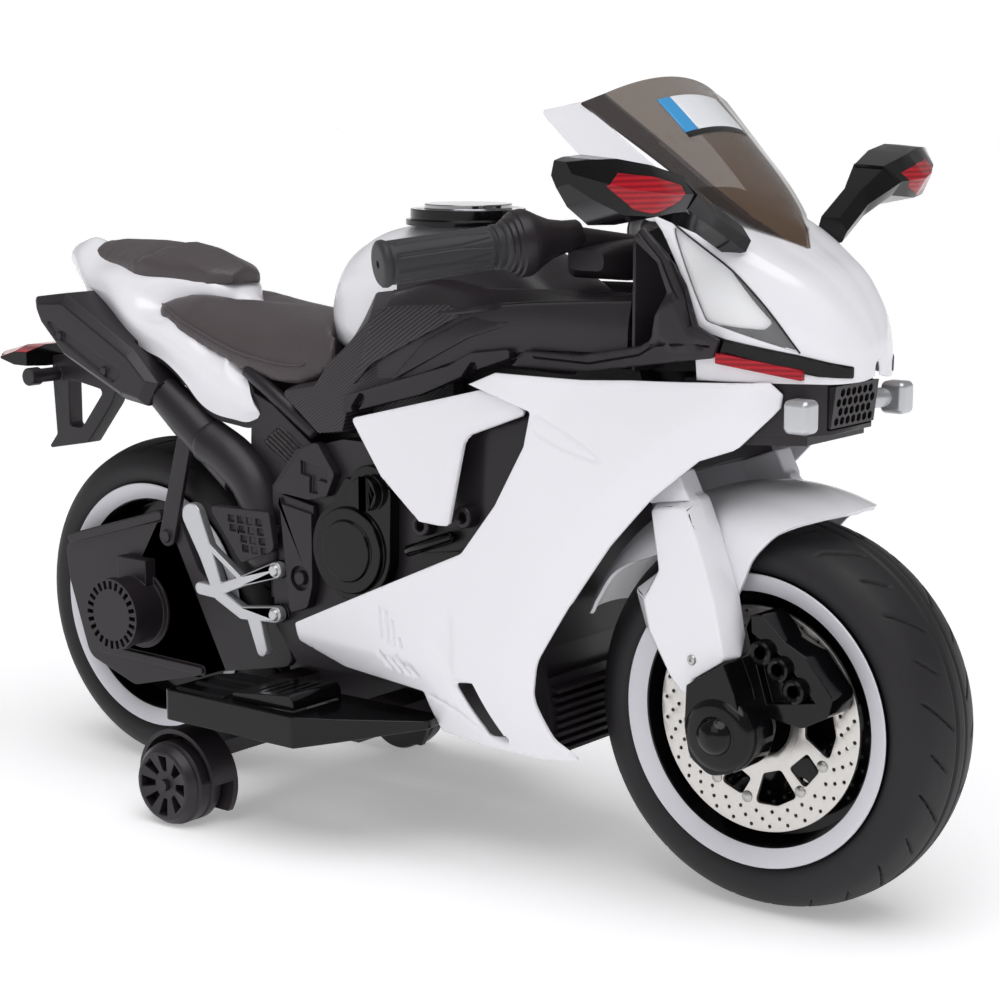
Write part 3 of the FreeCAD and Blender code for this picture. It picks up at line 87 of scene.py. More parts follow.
def surface(name, colour, roughness, inputs=None):
    material = bpy.data.materials.new(name)
    material.use_nodes = True
    shader = material.node_tree.nodes["Principled BSDF"]
    shader.inputs["Base Color"].default_value = linear(colour)
    shader.inputs["Roughness"].default_value = roughness
    for socket, value in (inputs or {}).items():
        shader.inputs[socket].default_value = value
    return material, material.node_tree, shader


def grained(tree, shader, width, depth, low, high, patch=40):
    # A relief of grains this many millimetres wide and deep, on a surface that is duller in broad patches.
    place = add(tree, "ShaderNodeTexCoord").outputs["Object"]
    fine = add(tree, "ShaderNodeTexNoise", {"Vector": place, "Scale": 1000 / width, "Detail": 2.0})
    relief = add(tree, "ShaderNodeBump", {"Height": fine.outputs["Fac"], "Distance": depth / 1000})
    broad = add(tree, "ShaderNodeTexNoise", {"Vector": place, "Scale": 1000 / patch, "Detail": 3.0})
    sheen = add(tree, "ShaderNodeMapRange", {"Value": broad.outputs["Fac"], "To Min": low, "To Max": high})
    tree.links.new(relief.outputs["Normal"], shader.inputs["Normal"])
    tree.links.new(sheen.outputs["Result"], shader.inputs["Roughness"])
    return place


def finished(name, colour, roughness, inputs, **grain):
    # A finish of one colour with an even grain.
    material, tree, shader = surface(name, colour, roughness, inputs)
    grained(tree, shader, **grain)
    return material


def dress(node, material, edge=0.8):
    # A solid from the frame in its finish. Doubled points are joined and flat faces merged. Creases over
    # 34 degrees are rounded by the edge, or split where there is none.
    part = frame["nodes"][node]
    crease = math.radians(34)
    part.data.materials.clear()
    part.data.materials.append(material)
    part.data.shade_smooth()
    for layer in ("custom_normal", "sharp_edge"):
        if layer in part.data.attributes:
            part.data.attributes.remove(part.data.attributes[layer])
    part.modifiers.new("Join", "WELD").merge_threshold = 2e-6
    flat = part.modifiers.new("Flat", "DECIMATE")
    flat.decimate_type = "DISSOLVE"
    flat.angle_limit = math.radians(0.6)
    if edge:
        rounding = part.modifiers.new("Edge", "BEVEL")
        rounding.width = edge / 1000
        rounding.segments = 2
        rounding.limit_method = "ANGLE"
        rounding.angle_limit = crease
        rounding.use_clamp_overlap = False
        part.modifiers.new("Shade", "WEIGHTED_NORMAL")
    else:
        part.modifiers.new("Crisp", "EDGE_SPLIT").split_angle = crease
    return part


# Spark-eroded black polypropylene: dark, even, with broad soft highlights. The 0.3 mm grain is drawn at
# 1.1 mm so that it shows.
black_satin = finished(
    "satin_polypropylene", "#262125", 0.4, {"IOR": 1.42}, width=1.1, depth=0.04, low=0.32, high=0.44)
for node in ("main_frame", "engine_block", "belly_shroud", "training_brackets", "steering_stem", "battery",
             "control_box"):
    dress(node, black_satin, 0)


# Engine covers, frame spars, swingarms, motor housings and silencers: grained polypropylene covers, clipped
# over the engine halves and the frame. The clutch cover beside them comes from a polished mould, so it is
# glossy with a faint orange-peel ripple.

# High-gloss ABS: near black with crisp reflections, gently rippled as moulded gloss is.
black_gloss = finished(
    "gloss_black_abs", "#0b0a0c", 0.12, {"IOR": 1.36}, width=9.0, depth=0.04, low=0.08, high=0.16)
for node in ("engine_side_covers", "frame_spars", "heel_guards", "rear_struts", "exhaust_pipes"):
    dress(node, black_satin, 1.0)
for node in ("swingarms", "drive_motors", "silencers", "plate_bracket"):
    dress(node, black_satin, 1.2)
dress("motor_caps", black_satin, 0)
dress("clutch_covers", black_gloss, 1.2)


# Axles: plain turned rods of zinc-plated steel, pushed through the wheels. The fork feet hold the front one
# and the swingarms the rear one.

# Zinc plating on turned steel: grey metal with a slightly blurred shine, its turning marks drawn at 1.4 mm.
steel = finished(
    "zinc_plated_steel", "#b9b8b6", 0.3, {"Metallic": 1.0}, width=1.4, depth=0.02, low=0.24, high=0.38)
for node in ("front_axle", "rear_axle"):
    dress(node, steel, 0)


# Footrest hangers and fog lamps: the hangers are forked castings bolted to the engine halves behind the
# rider's heel, and the lamps are cups on the nose beam. Both are sprayed silver.

# Sprayed aluminium paint: pale grey, metallic flakes as a fine sparkle drawn at 1.5 mm.
silver = finished(
    "silver_paint", "#c6c7ca", 0.34, {"Metallic": 0.75}, width=1.5, depth=0.03, low=0.28, high=0.42)
dress("footrest_hangers", silver, 1.4)
dress("fog_lamps", silver, 0)


# Road tyres: blown from soft EVA, with a round crown, slanting water grooves cut from the shoulders
# towards the crown and a groove round each side of the crown.

AXLE_STATION = 341.0
SHIFT = 1000 * sum(corner.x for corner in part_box("front_axle")) / 2 - AXLE_STATION
TYRE_RADIUS = 160.0
RIM_RADIUS = 120.2
TYRE_PROFILE = (
    (RIM_RADIUS, 43.2), (126, 46.3), (134, 47), (148, 39.5), (156.5, 22.6), (159.4, 10), (TYRE_RADIUS, 0))
TYRE_SECTIONS = 780
TYRE_POINTS = 93
GROOVES = 26
GROOVE_DEPTH = 2.8
GROOVE_HALF = 2.0
GROOVE_SLANT = 1.05 / TYRE_RADIUS
GROOVE_ENDS = (11.0, 40.0)
GROOVE_SHORTER = (6.0, 4.0)
CROWN_GROOVE = 6.5
CROWN_HALF = 1.8
CROWN_SHARE = 0.8


def hermite(knots, values, at, column=None):
    # Smooth values between knots: one row of values for each knot, or one column for each place.
    knots = np.asarray(knots, float)
    values = np.asarray(values, float)
    at = np.asarray(at, float)
    slopes = np.gradient(values, knots, axis=0)
    low = np.clip(np.searchsorted(knots, at, side="right") - 1, 0, len(knots) - 2)
    span = knots[low + 1] - knots[low]
    share = np.clip((at - knots[low]) / span, 0, 1)
    if values.ndim == 2 and column is None:
        span = span[:, None]
        share = share[:, None]
    here = low if column is None else (low, column)
    after = low + 1 if column is None else (low + 1, column)
    rise = share * share * (3 - 2 * share)
    lead = span * share * (1 - share) ** 2
    trail = span * share * share * (1 - share)
    return values[here] * (1 - rise) + values[after] * rise + slopes[here] * lead - slopes[after] * trail


def lengths(points):
    # How far along a line each of its points lies.
    return np.concatenate([[0], np.cumsum(np.linalg.norm(np.diff(points, axis=0), axis=1))])


def through(points, count, closed=False):
    # A smooth line through these points.
    points = np.asarray(points, float)
    padded = np.vstack([points[-2:], points, points[:3]]) if closed else points
    knots = lengths(padded)
    start = knots[2] if closed else 0
    end = knots[2 + len(points)] if closed else knots[-1]
    return hermite(knots, padded, np.linspace(start, end, count, endpoint=not closed))


def quads(rows, columns, wrap_rows=False, wrap_columns=False):
    # The faces of a grid of points, joined up at its ends where it wraps.
    index = np.arange(rows * columns).reshape(rows, columns)
    if wrap_rows:
        index = np.vstack([index, index[:1]])
    if wrap_columns:
        index = np.hstack([index, index[:, :1]])
    corners = (index[:-1, :-1], index[:-1, 1:], index[1:, 1:], index[1:, :-1])
    return np.stack([corner.ravel() for corner in corners], 1).tolist()


def piece(name, form, material, body="chassis", sharp=50):
    # A visible piece from its points and faces, riding on its body.
    points, faces = form
    mesh = bpy.data.meshes.new(name)
    mesh.from_pydata(((np.asarray(points, float) + (SHIFT, 0, 0)) / 1000).tolist(), [], faces)
    shape = bmesh.new()
    shape.from_mesh(mesh)
    bmesh.ops.remove_doubles(shape, verts=shape.verts, dist=1e-6)
    bmesh.ops.recalc_face_normals(shape, faces=shape.faces)
    shape.to_mesh(mesh)
    shape.free()
    mesh.shade_smooth()
    mesh.set_sharp_from_angle(angle=math.radians(sharp))
    mesh.materials.append(material)
    made = bpy.data.objects.new(name, mesh)
    bpy.context.scene.collection.objects.link(made)
    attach(made, body)
    return made


def spun(radii, y, turn, x, z):
    # A ring of sections about an axle at (x, z): radii and y by section and profile point.
    points = np.stack([x + radii * np.cos(turn), y, z + radii * np.sin(turn)], -1)
    return points.reshape(-1, 3), quads(*radii.shape, True, True)


def turned(profile, x, z, count=144, side=-1):
    # A body turned about an axle at (x, z), from pairs of radius and distance out to one side.
    profile = np.asarray(profile, float)
    turn = np.linspace(0, 2 * math.pi, count, endpoint=False)[:, None] * np.ones(len(profile))
    return spun(np.tile(profile[:, 0], (count, 1)), np.tile(side * profile[:, 1], (count, 1)), turn, x, z)


def road_tyre(x):
    half = list(TYRE_PROFILE)
    profile = through(half + [(radius, -y) for radius, y in reversed(half[:-1])], TYRE_POINTS)
    turn = np.linspace(0, 2 * math.pi, TYRE_SECTIONS, endpoint=False)[:, None] * np.ones(TYRE_POINTS)
    radii = np.tile(profile[:, 0], (TYRE_SECTIONS, 1))
    y = np.tile(profile[:, 1], (TYRE_SECTIONS, 1))
    away = np.abs(y)
    pitch = 2 * math.pi / GROOVES
    phase = (turn - GROOVE_SLANT * away - (y > 0) * pitch / 2) / pitch
    off = np.abs(phase - np.round(phase)) * pitch * TYRE_RADIUS
    short = np.round(phase) % 2
    inner = GROOVE_ENDS[0] + GROOVE_SHORTER[0] * short
    outer = GROOVE_ENDS[1] - GROOVE_SHORTER[1] * short
    ends = np.clip((away - inner) / 3, 0, 1) * np.clip((outer - away) / 4, 0, 1)
    slanting = np.clip(1.5 * (1 - off / GROOVE_HALF), 0, 1) * ends
    crown = np.clip(1.6 * (1 - np.abs(away - CROWN_GROOVE) / CROWN_HALF), 0, 1)
    cut = np.maximum(slanting, CROWN_SHARE * crown)
    return spun(radii - GROOVE_DEPTH * cut, y, turn, x, TYRE_RADIUS)


# Foamed EVA tread: near black, dull, with a dusty bloom in patches and a fine pitted skin drawn at 1.3 mm.
tyre_black = finished(
    "blown_eva_rubber", "#1c191c", 0.56, {"IOR": 1.44}, width=1.3, depth=0.06, low=0.5, high=0.66, patch=60)
for end, x in (("front", AXLE_STATION), ("rear", -AXLE_STATION)):
    tyre = piece(end + "_road_tyre", road_tyre(x), tyre_black, end + "_wheel", 60)
    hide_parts(end + "_tyre")


# Rims and rings: black ABS rims from a polished mould, pressed into the tyres, with a ring of satin white ABS
# snapped on both faces against the bead.

RING = ((119.4, 46.2), (118.6, 47.0), (105.2, 42.2), (104.2, 41.2), (104.6, 39.6), (119.4, 44.6))

# Satin ABS: cool white with a soft glow and no sharp reflection.
white_satin = finished(
    "satin_white_abs", "#dddce3", 0.36, {"IOR": 1.54}, width=1.2, depth=0.02, low=0.32, high=0.42)
for end, x in (("front", AXLE_STATION), ("rear", -AXLE_STATION)):
    dress(end + "_rim", black_gloss, 0)
    for side, sign in (("right", -1), ("left", 1)):
        ring = turned(RING, x, TYRE_RADIUS, side=sign)
        piece(f"{end}_ring_{side}", ring, white_satin, end + "_wheel", 40)


# Brake discs: dummy discs of bright pressed steel, drilled in slanting rows, on a pierced carrier that is
# riveted to the band and pressed against the hub.

DISC_RADIUS = 92.0
DISC_FACE = 34.2
DISC_WALL = 3.0
DISC_BORE = 30.0
DRILL_COLUMNS = 32
DRILL_RADII = (75.5, 81.5, 87.5)
DRILL_SLANT = 4.2
DRILL_RADIUS = 1.5
SPOKES = 5
WIDE_WINDOW = ((44, -10, 4), (69, -19, 4), (71, -2, 9), (69, 15, 4), (44, 12, 4))
SLIM_WINDOW = ((46, 22, 3), (66, 24, 4), (66, 42, 4), (50, 48, 3))
RIVET = ((0.01, 39.6), (3.0, 39.2), (4.6, 38.2), (5.0, 36.8), (0.01, 36.8))
RIVET_CIRCLE = 66.0
RIVET_TURNS = (46.5, 19.5)


def rounded(points):
    # An outline in the plane, with its corners eased by their own radius.
    corners = [Vector(point[:2]) for point in points]
    ring = []
    for index, here in enumerate(corners):
        radius = points[index][2] if len(points[index]) > 2 else 0
        if not radius:
            ring.append(here)
            continue
        back = corners[index - 1] - here
        ahead = corners[(index + 1) % len(corners)] - here
        cut = radius / math.tan(back.angle(ahead) / 2)
        cut = min(cut, 0.45 * back.length, 0.45 * ahead.length)
        start = here + back.normalized() * cut
        end = here + ahead.normalized() * cut
        for share in np.linspace(0, 1, 7):
            ring.append(start * (1 - share) ** 2 + here * 2 * share * (1 - share) + end * share ** 2)
    return np.array(ring)


def stepped(line, step, closed=True):
    # The same line with points no more than a step apart.
    line = np.asarray(line, float)
    ends = np.roll(line, -1, axis=0) if closed else line[1:]
    walk = []
    for start, end in zip(line, ends):
        count = max(1, math.ceil(np.linalg.norm(end - start) / step))
        walk.append(start + (end - start) * (np.arange(count) / count)[:, None])
    return np.vstack(walk + ([] if closed else [line[-1:]]))


def within(ring, points):
    # Which points lie inside a closed outline.
    x, z = points[:, 0], points[:, 1]
    inside = np.zeros(len(points), bool)
    for (x0, z0), (x1, z1) in zip(ring, np.roll(ring, -1, axis=0)):
        if z0 != z1:
            crosses = (z0 > z) != (z1 > z)
            inside ^= crosses & (x < x0 + (z - z0) * (x1 - x0) / (z1 - z0))
    return inside


def gap_to(line, points, closed=False):
    # How far each point is from a line.
    line = np.asarray(line, float)
    least = np.full(len(points), 1e9)
    ends = np.roll(line, -1, axis=0) if closed else line[1:]
    for start, end in zip(line, ends):
        way = end - start
        share = np.clip(((points - start) @ way) / max(way @ way, 1e-12), 0, 1)
        least = np.minimum(least, np.linalg.norm(points - start - share[:, None] * way, axis=1))
    return least


def square_to(ahead):
    # Unit steps at right angles to these ones.
    return np.stack([-ahead[:, 1], ahead[:, 0]], 1) / (np.linalg.norm(ahead, axis=1)[:, None] + 1e-9)


def sheet(edge, place, wall, holes=(), scores=(), step=4.0, roll=1.0, out=(0, -1, 0)):
    # A moulded sheet: an outline filled with small triangles, laid on a surface, with a rolled rim and a
    # wall. Scores are (line, half width, depth) grooves pressed into the face.
    rings = [stepped(ring, step) for ring in (edge, *holes)]
    low, high = rings[0].min(0), rings[0].max(0)
    columns = np.arange(low[0], high[0], step)
    levels = np.arange(low[1], high[1], step * 0.87)
    grid = np.array([(x + step / 2 * (row % 2), z) for row, z in enumerate(levels) for x in columns])
    rim = []
    for ring in rings:
        normal = square_to(np.roll(ring, -1, axis=0) - np.roll(ring, 1, axis=0))
        for share in (-1, -0.35, 0.35, 1):
            spots = ring + normal * share * roll
            rim.append(spots[gap_to(ring, spots, True) > 0.9 * abs(share) * roll])

    def kept(points, gap):
        good = within(rings[0], points)
        for hole in rings[1:]:
            good &= ~within(hole, points)
        for ring in rings:
            good &= gap_to(ring, points, True) > gap
        return points[good]

    lines = []
    for line, half, depth in scores:
        walk = stepped(line, min(step, 3 * half), False)
        normal = square_to(np.gradient(walk, axis=0))
        lines += [walk, walk + normal * half, walk - normal * half]
    grid = kept(grid, max(roll, 0.4 * step))
    for line in lines:
        grid = grid[gap_to(line, grid) > 0.35 * step]
    flat = list(rings)
    edges = []
    start = 0
    for ring in rings:
        edges += [(start + k, start + (k + 1) % len(ring)) for k in range(len(ring))]
        start += len(ring)
    for line in lines:
        flat.append(line)
        edges += [(start + k, start + k + 1) for k in range(len(line) - 1)]
        start += len(line)
    flat += [kept(np.vstack(rim), 0.2 * roll), grid]
    spots = [Vector(point) for point in np.vstack(flat)]
    points, _, faces, *_ = geometry.delaunay_2d_cdt(spots, edges, [], 0, 1e-4)
    points = np.array(points)
    faces = np.array([face for face in faces if len(face) == 3])
    middle = points[faces].mean(1)
    good = within(rings[0], middle)
    for hole in rings[1:]:
        good &= ~within(hole, middle)
    faces = faces[good]
    a, b, c = (points[faces[:, k]] for k in range(3))
    area = (b[:, 0] - a[:, 0]) * (c[:, 1] - a[:, 1]) - (b[:, 1] - a[:, 1]) * (c[:, 0] - a[:, 0])
    faces = faces[np.abs(area) > 1e-4]

    nudge = 0.2
    across = place(points + (nudge, 0)) - place(points - (nudge, 0))
    along = place(points + (0, nudge)) - place(points - (0, nudge))
    normal = np.cross(across, along)
    normal /= np.linalg.norm(normal, axis=1)[:, None] + 1e-12
    if (normal @ np.asarray(out, float)).mean() < 0:
        normal = -normal
    rim_gap = np.min([gap_to(ring, points, True) for ring in rings], axis=0)
    short = np.clip(roll - rim_gap, 0, roll)
    fall = roll - np.sqrt(np.maximum(roll * roll - short * short, 0))
    for line, half, depth in scores:
        fall = np.maximum(fall, depth * np.clip(1 - gap_to(line, points) / half, 0, 1))
    outer = place(points) - normal * fall[:, None]
    inner = place(points) - normal * np.maximum(wall, fall + 0.3)[:, None]
    count = len(points)
    solid = [list(face) for face in faces] + [[v + count for v in reversed(face)] for face in faces.tolist()]
    directed = {(face[k], face[(k + 1) % 3]) for face in faces.tolist() for k in range(3)}
    for first, second in sorted(directed):
        if (second, first) not in directed:
            solid.append([second, first, first + count, second + count])
    return np.vstack([outer, inner]), solid


def circle(x, z, radius, count=12):
    turn = np.linspace(0, 2 * math.pi, count, endpoint=False)
    return np.stack([x + radius * np.cos(turn), z + radius * np.sin(turn)], 1)


def polar(radius, degrees):
    return radius * math.cos(math.radians(degrees)), radius * math.sin(math.radians(degrees))


def bright_disc_steel():
    # Pressed and ground stainless: pale warm grey, ground in rings about 1.1 mm apart round the axle.
    material, tree, shader = surface("ground_disc_steel", "#d3d0cc", 0.3, {"Metallic": 0.9})
    place = add(tree, "ShaderNodeTexCoord").outputs["Object"]
    axle = ((AXLE_STATION + SHIFT) / 1000, 0, TYRE_RADIUS / 1000)
    from_axle = add(tree, "ShaderNodeVectorMath", {0: place, 1: axle}, operation="SUBTRACT")
    flat = add(tree, "ShaderNodeVectorMath", {0: from_axle.outputs[0], 1: (1, 0, 1)}, operation="MULTIPLY")
    radius = add(tree, "ShaderNodeVectorMath", {0: flat.outputs[0]}, operation="LENGTH")
    ground = {"W": radius.outputs["Value"], "Scale": 900.0}
    rings = add(tree, "ShaderNodeTexNoise", ground, noise_dimensions="1D")
    relief = add(tree, "ShaderNodeBump", {"Height": rings.outputs["Fac"], "Distance": 0.00003})
    sheen = add(tree, "ShaderNodeMapRange", {"Value": rings.outputs["Fac"], "To Min": 0.24, "To Max": 0.36})
    tree.links.new(relief.outputs["Normal"], shader.inputs["Normal"])
    tree.links.new(sheen.outputs["Result"], shader.inputs["Roughness"])
    return material


def at_side(points, half):
    # Side-view points, set this far out to the right.
    return np.stack([points[:, 0], np.broadcast_to(-np.asarray(half, float), len(points)), points[:, 1]], 1)


def brake_disc():
    holes = [circle(0, 0, DISC_BORE, 48)]
    for column in range(DRILL_COLUMNS):
        for row, radius in enumerate(DRILL_RADII):
            spot = polar(radius, 360 / DRILL_COLUMNS * column + DRILL_SLANT * row)
            holes.append(circle(*spot, DRILL_RADIUS, 10))
    for spoke in range(SPOKES):
        turn = 360 / SPOKES * spoke
        for window in (WIDE_WINDOW, SLIM_WINDOW):
            holes.append(rounded([(*polar(radius, turn + angle), ease) for radius, angle, ease in window]))

    def place(points):
        return at_side(points + (AXLE_STATION, TYRE_RADIUS), DISC_FACE + DISC_WALL)

    return sheet(circle(0, 0, DISC_RADIUS, 160), place, DISC_WALL, holes, step=7, roll=0.4)


def joined(forms):
    # Several forms as one.
    faces = []
    start = 0
    for points, own in forms:
        faces += [[v + start for v in face] for face in own]
        start += len(points)
    return np.vstack([points for points, _ in forms]), faces


def disc_rivets():
    made = []
    for spoke in range(SPOKES):
        for turn in RIVET_TURNS:
            x, z = polar(RIVET_CIRCLE, 360 / SPOKES * spoke + turn)
            made.append(turned(RIVET, AXLE_STATION + x, TYRE_RADIUS + z, 20))
    return joined(made)


def pair(name, form, material, body="chassis", sharp=50):
    # A piece of the right side together with its mirror image on the left.
    made = piece(name, form, material, body, sharp)
    made.modifiers.new("OtherSide", "MIRROR").use_axis = (False, True, False)
    return made


discs = pair("drilled_discs", brake_disc(), bright_disc_steel(), "front_wheel", 30)
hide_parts("brake_discs")
pair("disc_rivets", disc_rivets(), steel, "front_wheel", 40)


# Training wheels: ribbed polypropylene wheels with eight sunk windows. They turn on stub pins at the ends of
# the training bracket.

for side in ("right", "left"):
    dress("training_wheel_" + side, black_satin, 0.8)


# Fork: gloss white ABS sleeves, snapped round the legs over glossy black feet. The feet carry the axle and
# the dummy brake calipers.

# Gloss white ABS: bright, faintly cool white, clean soft-edged reflections over a slight orange peel.
white = finished(
    "gloss_white_abs", "#efeef3", 0.2, {"IOR": 1.54, "Coat Weight": 0.25}, width=11.0, depth=0.03, low=0.15,
    high=0.25)
dress("fork_sleeves", white, 2.0)
dress("fork_feet", black_gloss, 1.0)


# Fork fittings: a round hub cover with a domed cap over each axle end, three caliper pots with rims and a
# bright screw in each sleeve.

HUB_COVER = ((0.01, 101), (23, 101), (28, 99), (31, 95), (32, 89), (32, 66), (0.01, 66))
AXLE_DOME = (
    (0.01, 112), (6, 111.2), (11, 108.6), (14.4, 104.8), (15.6, 101.4), (17.6, 101.2), (18, 99),
    (0.01, 99))
POT = ((0.01, 75), (4.8, 75), (5.2, 77.5), (7.6, 78.4), (9.6, 77.4), (10, 75), (10, 62), (0.01, 62))
SCREW = ((0.01, 90.6), (1.2, 90.6), (1.4, 91.8), (3.4, 91.4), (4.2, 90.4), (4.4, 88), (0.01, 88))
FITTINGS = (
    ("hub_covers", HUB_COVER, AXLE_STATION, TYRE_RADIUS, black_gloss, "black_gloss"),
    ("axle_domes", AXLE_DOME, AXLE_STATION, TYRE_RADIUS, black_gloss, "black_gloss"),
    ("caliper_pots_0", POT, 366, 225, black_gloss, "black_gloss"),
    ("caliper_pots_1", POT, 381.5, 214, black_gloss, "black_gloss"),
    ("caliper_pots_2", POT, 396, 199, black_gloss, "black_gloss"),
    ("sleeve_screws", SCREW, 312, 214, steel, "steel"))
for name, profile, x, z, material, slot in FITTINGS:
    pair(name, turned(profile, x, z, 56), material, "steering", 40)


# Mudguard: an arched moulding of the same gloss white ABS over the front tyre. Its skirts reach down to the
# sleeves, which hold it.

GUARD_WALL = 3.0
GUARD_PROFILE = (
    (187, 0), (186.2, 14), (183, 28.5), (177, 40), (171, 49), (160, 57.5), (147, 60), (120, 60), (90, 60))
GUARD_EDGE = (
    (67.6, 186.4), (74.5, 171.5), (80, 158), (84, 144.5), (88, 130), (91.5, 112), (95, 100.5),
    (99.5, 98.5), (104, 116), (106.5, 137), (113, 145.5), (119, 149.5), (127, 153.5), (134, 160.5),
    (142, 167.5), (152, 168.5), (157.5, 172), (159, 178.5))


def shelled(grid, wall):
    # A closed shell round a grid of points: the grid is its outer face.
    across = np.gradient(grid, axis=1)
    along = np.gradient(grid, axis=0)
    normal = np.cross(across, along)
    normal /= np.linalg.norm(normal, axis=2)[..., None] + 1e-12
    inner = grid - normal * wall
    rows, columns = grid.shape[:2]
    index = np.arange(rows * columns).reshape(rows, columns)
    rim = np.concatenate([index[0], index[1:, -1], index[-1, -2::-1], index[-2:0:-1, 0]])
    faces = quads(rows, columns)
    count = rows * columns
    faces += [[v + count for v in reversed(face)] for face in faces]
    faces += [[a, b, b + count, a + count] for a, b in zip(rim, np.roll(rim, -1))]
    return np.vstack([grid.reshape(-1, 3), inner.reshape(-1, 3)]), faces


def mudguard():
    profile = through(GUARD_PROFILE, 160)
    walk = lengths(profile)
    edge = np.array(GUARD_EDGE)
    turns = np.linspace(edge[0, 0], edge[-1, 0], 120)
    reach = np.interp(hermite(edge[:, 0], edge[:, 1], turns), profile[::-1, 0], walk[::-1])
    share = np.sin(np.linspace(-math.pi / 2, math.pi / 2, 61))
    rows = []
    for turn, far in zip(np.radians(turns), reach):
        radius = np.interp(np.abs(share) * far, walk, profile[:, 0])
        half = np.interp(np.abs(share) * far, walk, profile[:, 1]) * np.sign(share)
        x = AXLE_STATION + radius * math.cos(turn)
        z = TYRE_RADIUS + radius * math.sin(turn)
        rows.append(np.stack([x, half, z], 1))
    return shelled(np.array(rows), GUARD_WALL)


guard = piece("arched_mudguard", mudguard(), white, "steering", 40)
rim = guard.modifiers.new("Edge", "BEVEL")
rim.width = 0.0009
rim.segments = 2
rim.angle_limit = math.radians(60)
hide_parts("mudguard")


# Handlebar and grips: a black bar moulding with rubber sleeves pushed on. Each grip has long raised ribs
# with pointed ends, collars at the inner end and a drilled, rounded outer end.

GRIP_START = np.array((144, -105, 531.0))
GRIP_WAY = np.array((-57, -98, -13.0)) / np.linalg.norm((-57, -98, -13.0))
GRIP_SIDE = np.cross(GRIP_WAY, (0, 0, 1.0)) / np.linalg.norm(np.cross(GRIP_WAY, (0, 0, 1.0)))
GRIP_UP = np.cross(GRIP_SIDE, GRIP_WAY)
GRIP_RADIUS = 17.5
GRIP_COLLAR = (
    (0.2, 11.2), (0.3, 19.0), (2, 19.5), (7, 19.5), (8.5, 18.6), (9.5, 17.0), (11, 17.0), (12, 18.2),
    (15, 18.2), (16, 16.6), (18, 16.6), (19.5, 17.4))
GRIP_TIP = (
    (102, 17.5), (104, 17.0), (105, 18.2), (107, 19.0), (110, 18.6), (111.8, 16.5), (112.2, 13),
    (112.2, 3.2), (108, 3.0), (108, 0.01))
GRIP_RIBS = 9
GRIP_SECTIONS = 180
RIB_RUN = (22, 99)
RIB_HALF = 3.4
RIB_DEPTH = 0.9
GROOVE_WIDE = 0.9
POINT_START = 24.0
POINT_LONG = 24.0
POINT_DRAW = 2.6


def about_grip(length, radius, count):
    # A body turned about the grip, from distances along it and radii.
    turn = np.linspace(0, 2 * math.pi, count, endpoint=False)[:, None, None]
    ring = radius[..., None] * (np.cos(turn) * GRIP_SIDE + np.sin(turn) * GRIP_UP)
    points = GRIP_START + length[:, None] * GRIP_WAY + ring
    return points.reshape(-1, 3), quads(count, len(length), True)


def ribbed_grip():
    collar = np.array(GRIP_COLLAR)
    tip = np.array(GRIP_TIP)
    middle = np.linspace(21, 100, 54)
    length = np.concatenate([collar[:, 0], middle, tip[:, 0]])
    radius = np.concatenate([collar[:, 1], np.full(len(middle), GRIP_RADIUS), tip[:, 1]])
    turn = np.linspace(0, 2 * math.pi, GRIP_SECTIONS, endpoint=False)[:, None]
    phase = turn * GRIP_RIBS / (2 * math.pi)
    off = np.abs(phase - np.round(phase)) * 2 * math.pi / GRIP_RIBS * GRIP_RADIUS
    narrow = np.clip((length - POINT_START) / POINT_LONG, 0, 1) * POINT_DRAW
    groove = np.clip(1.4 - np.abs(off - (RIB_HALF - narrow)) / GROOVE_WIDE, 0, 1)
    ribbed = (length > RIB_RUN[0]) & (length < RIB_RUN[1])
    return about_grip(length, radius - RIB_DEPTH * groove * ribbed, GRIP_SECTIONS)


# Soft thermoplastic rubber: dark grey, no clear reflection, a stippled grip drawn at 1.2 mm.
grip_rubber = finished(
    "moulded_grip_rubber", "#242226", 0.56, {"IOR": 1.5, "Sheen Weight": 0.1}, width=1.2, depth=0.06, low=0.5,
    high=0.62)
dress("handlebar", black_satin, 0)
grips = pair("ribbed_grips", ribbed_grip(), grip_rubber, "steering", 45)
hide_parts("grips")


# Twist-grip drums: black polypropylene housings clamped to the bar at the inner end of each grip, ringed,
# then drawn in to the bar. Each step is a distance inwards and a radius.

DRUM_STEPS = (
    (-9, 17.8), (-7, 19.5), (-5, 19.5), (-4, 21.5), (-1, 22), (0, 24.5), (3, 25), (4, 26.8), (11, 27.4),
    (14, 26.8), (15, 25.4), (17, 25.2), (24, 21), (34, 16), (46, 13.2), (58, 12.4), (60, 11), (60, 0.01))
drum_steps = np.array(DRUM_STEPS)
drum = about_grip(-drum_steps[:, 0], drum_steps[:, 1], 96)
pair("grip_drums", drum, black_satin, "steering", 35)


# Bar cover: a black polypropylene moulding clipped round the middle of the bar over the stem. Each row is a
# place across the bike, then the back, front, bottom and top there.

COVER_ROWS = (
    (-64, 172, 206, 510, 526), (-50, 160, 212, 504, 530), (0, 156, 224, 503, 534),
    (50, 160, 212, 504, 530), (64, 172, 206, 510, 526))


def skinned(sections, along):
    # A closed body through rings of points, smoothed lengthwise and capped at both ends.
    sections = np.asarray(sections, float)
    centres = sections.mean(1)
    knots = lengths(centres)
    rows = hermite(knots, sections.reshape(len(sections), -1), np.linspace(0, knots[-1], along))
    count = sections.shape[1]
    points = np.vstack([rows.reshape(-1, 3), centres[:1], centres[-1:]])
    faces = quads(along, count, False, True)
    last = (along - 1) * count
    for k in range(count):
        after = (k + 1) % count
        faces.append([after, k, along * count])
        faces.append([last + k, last + after, along * count + 1])
    return points, faces


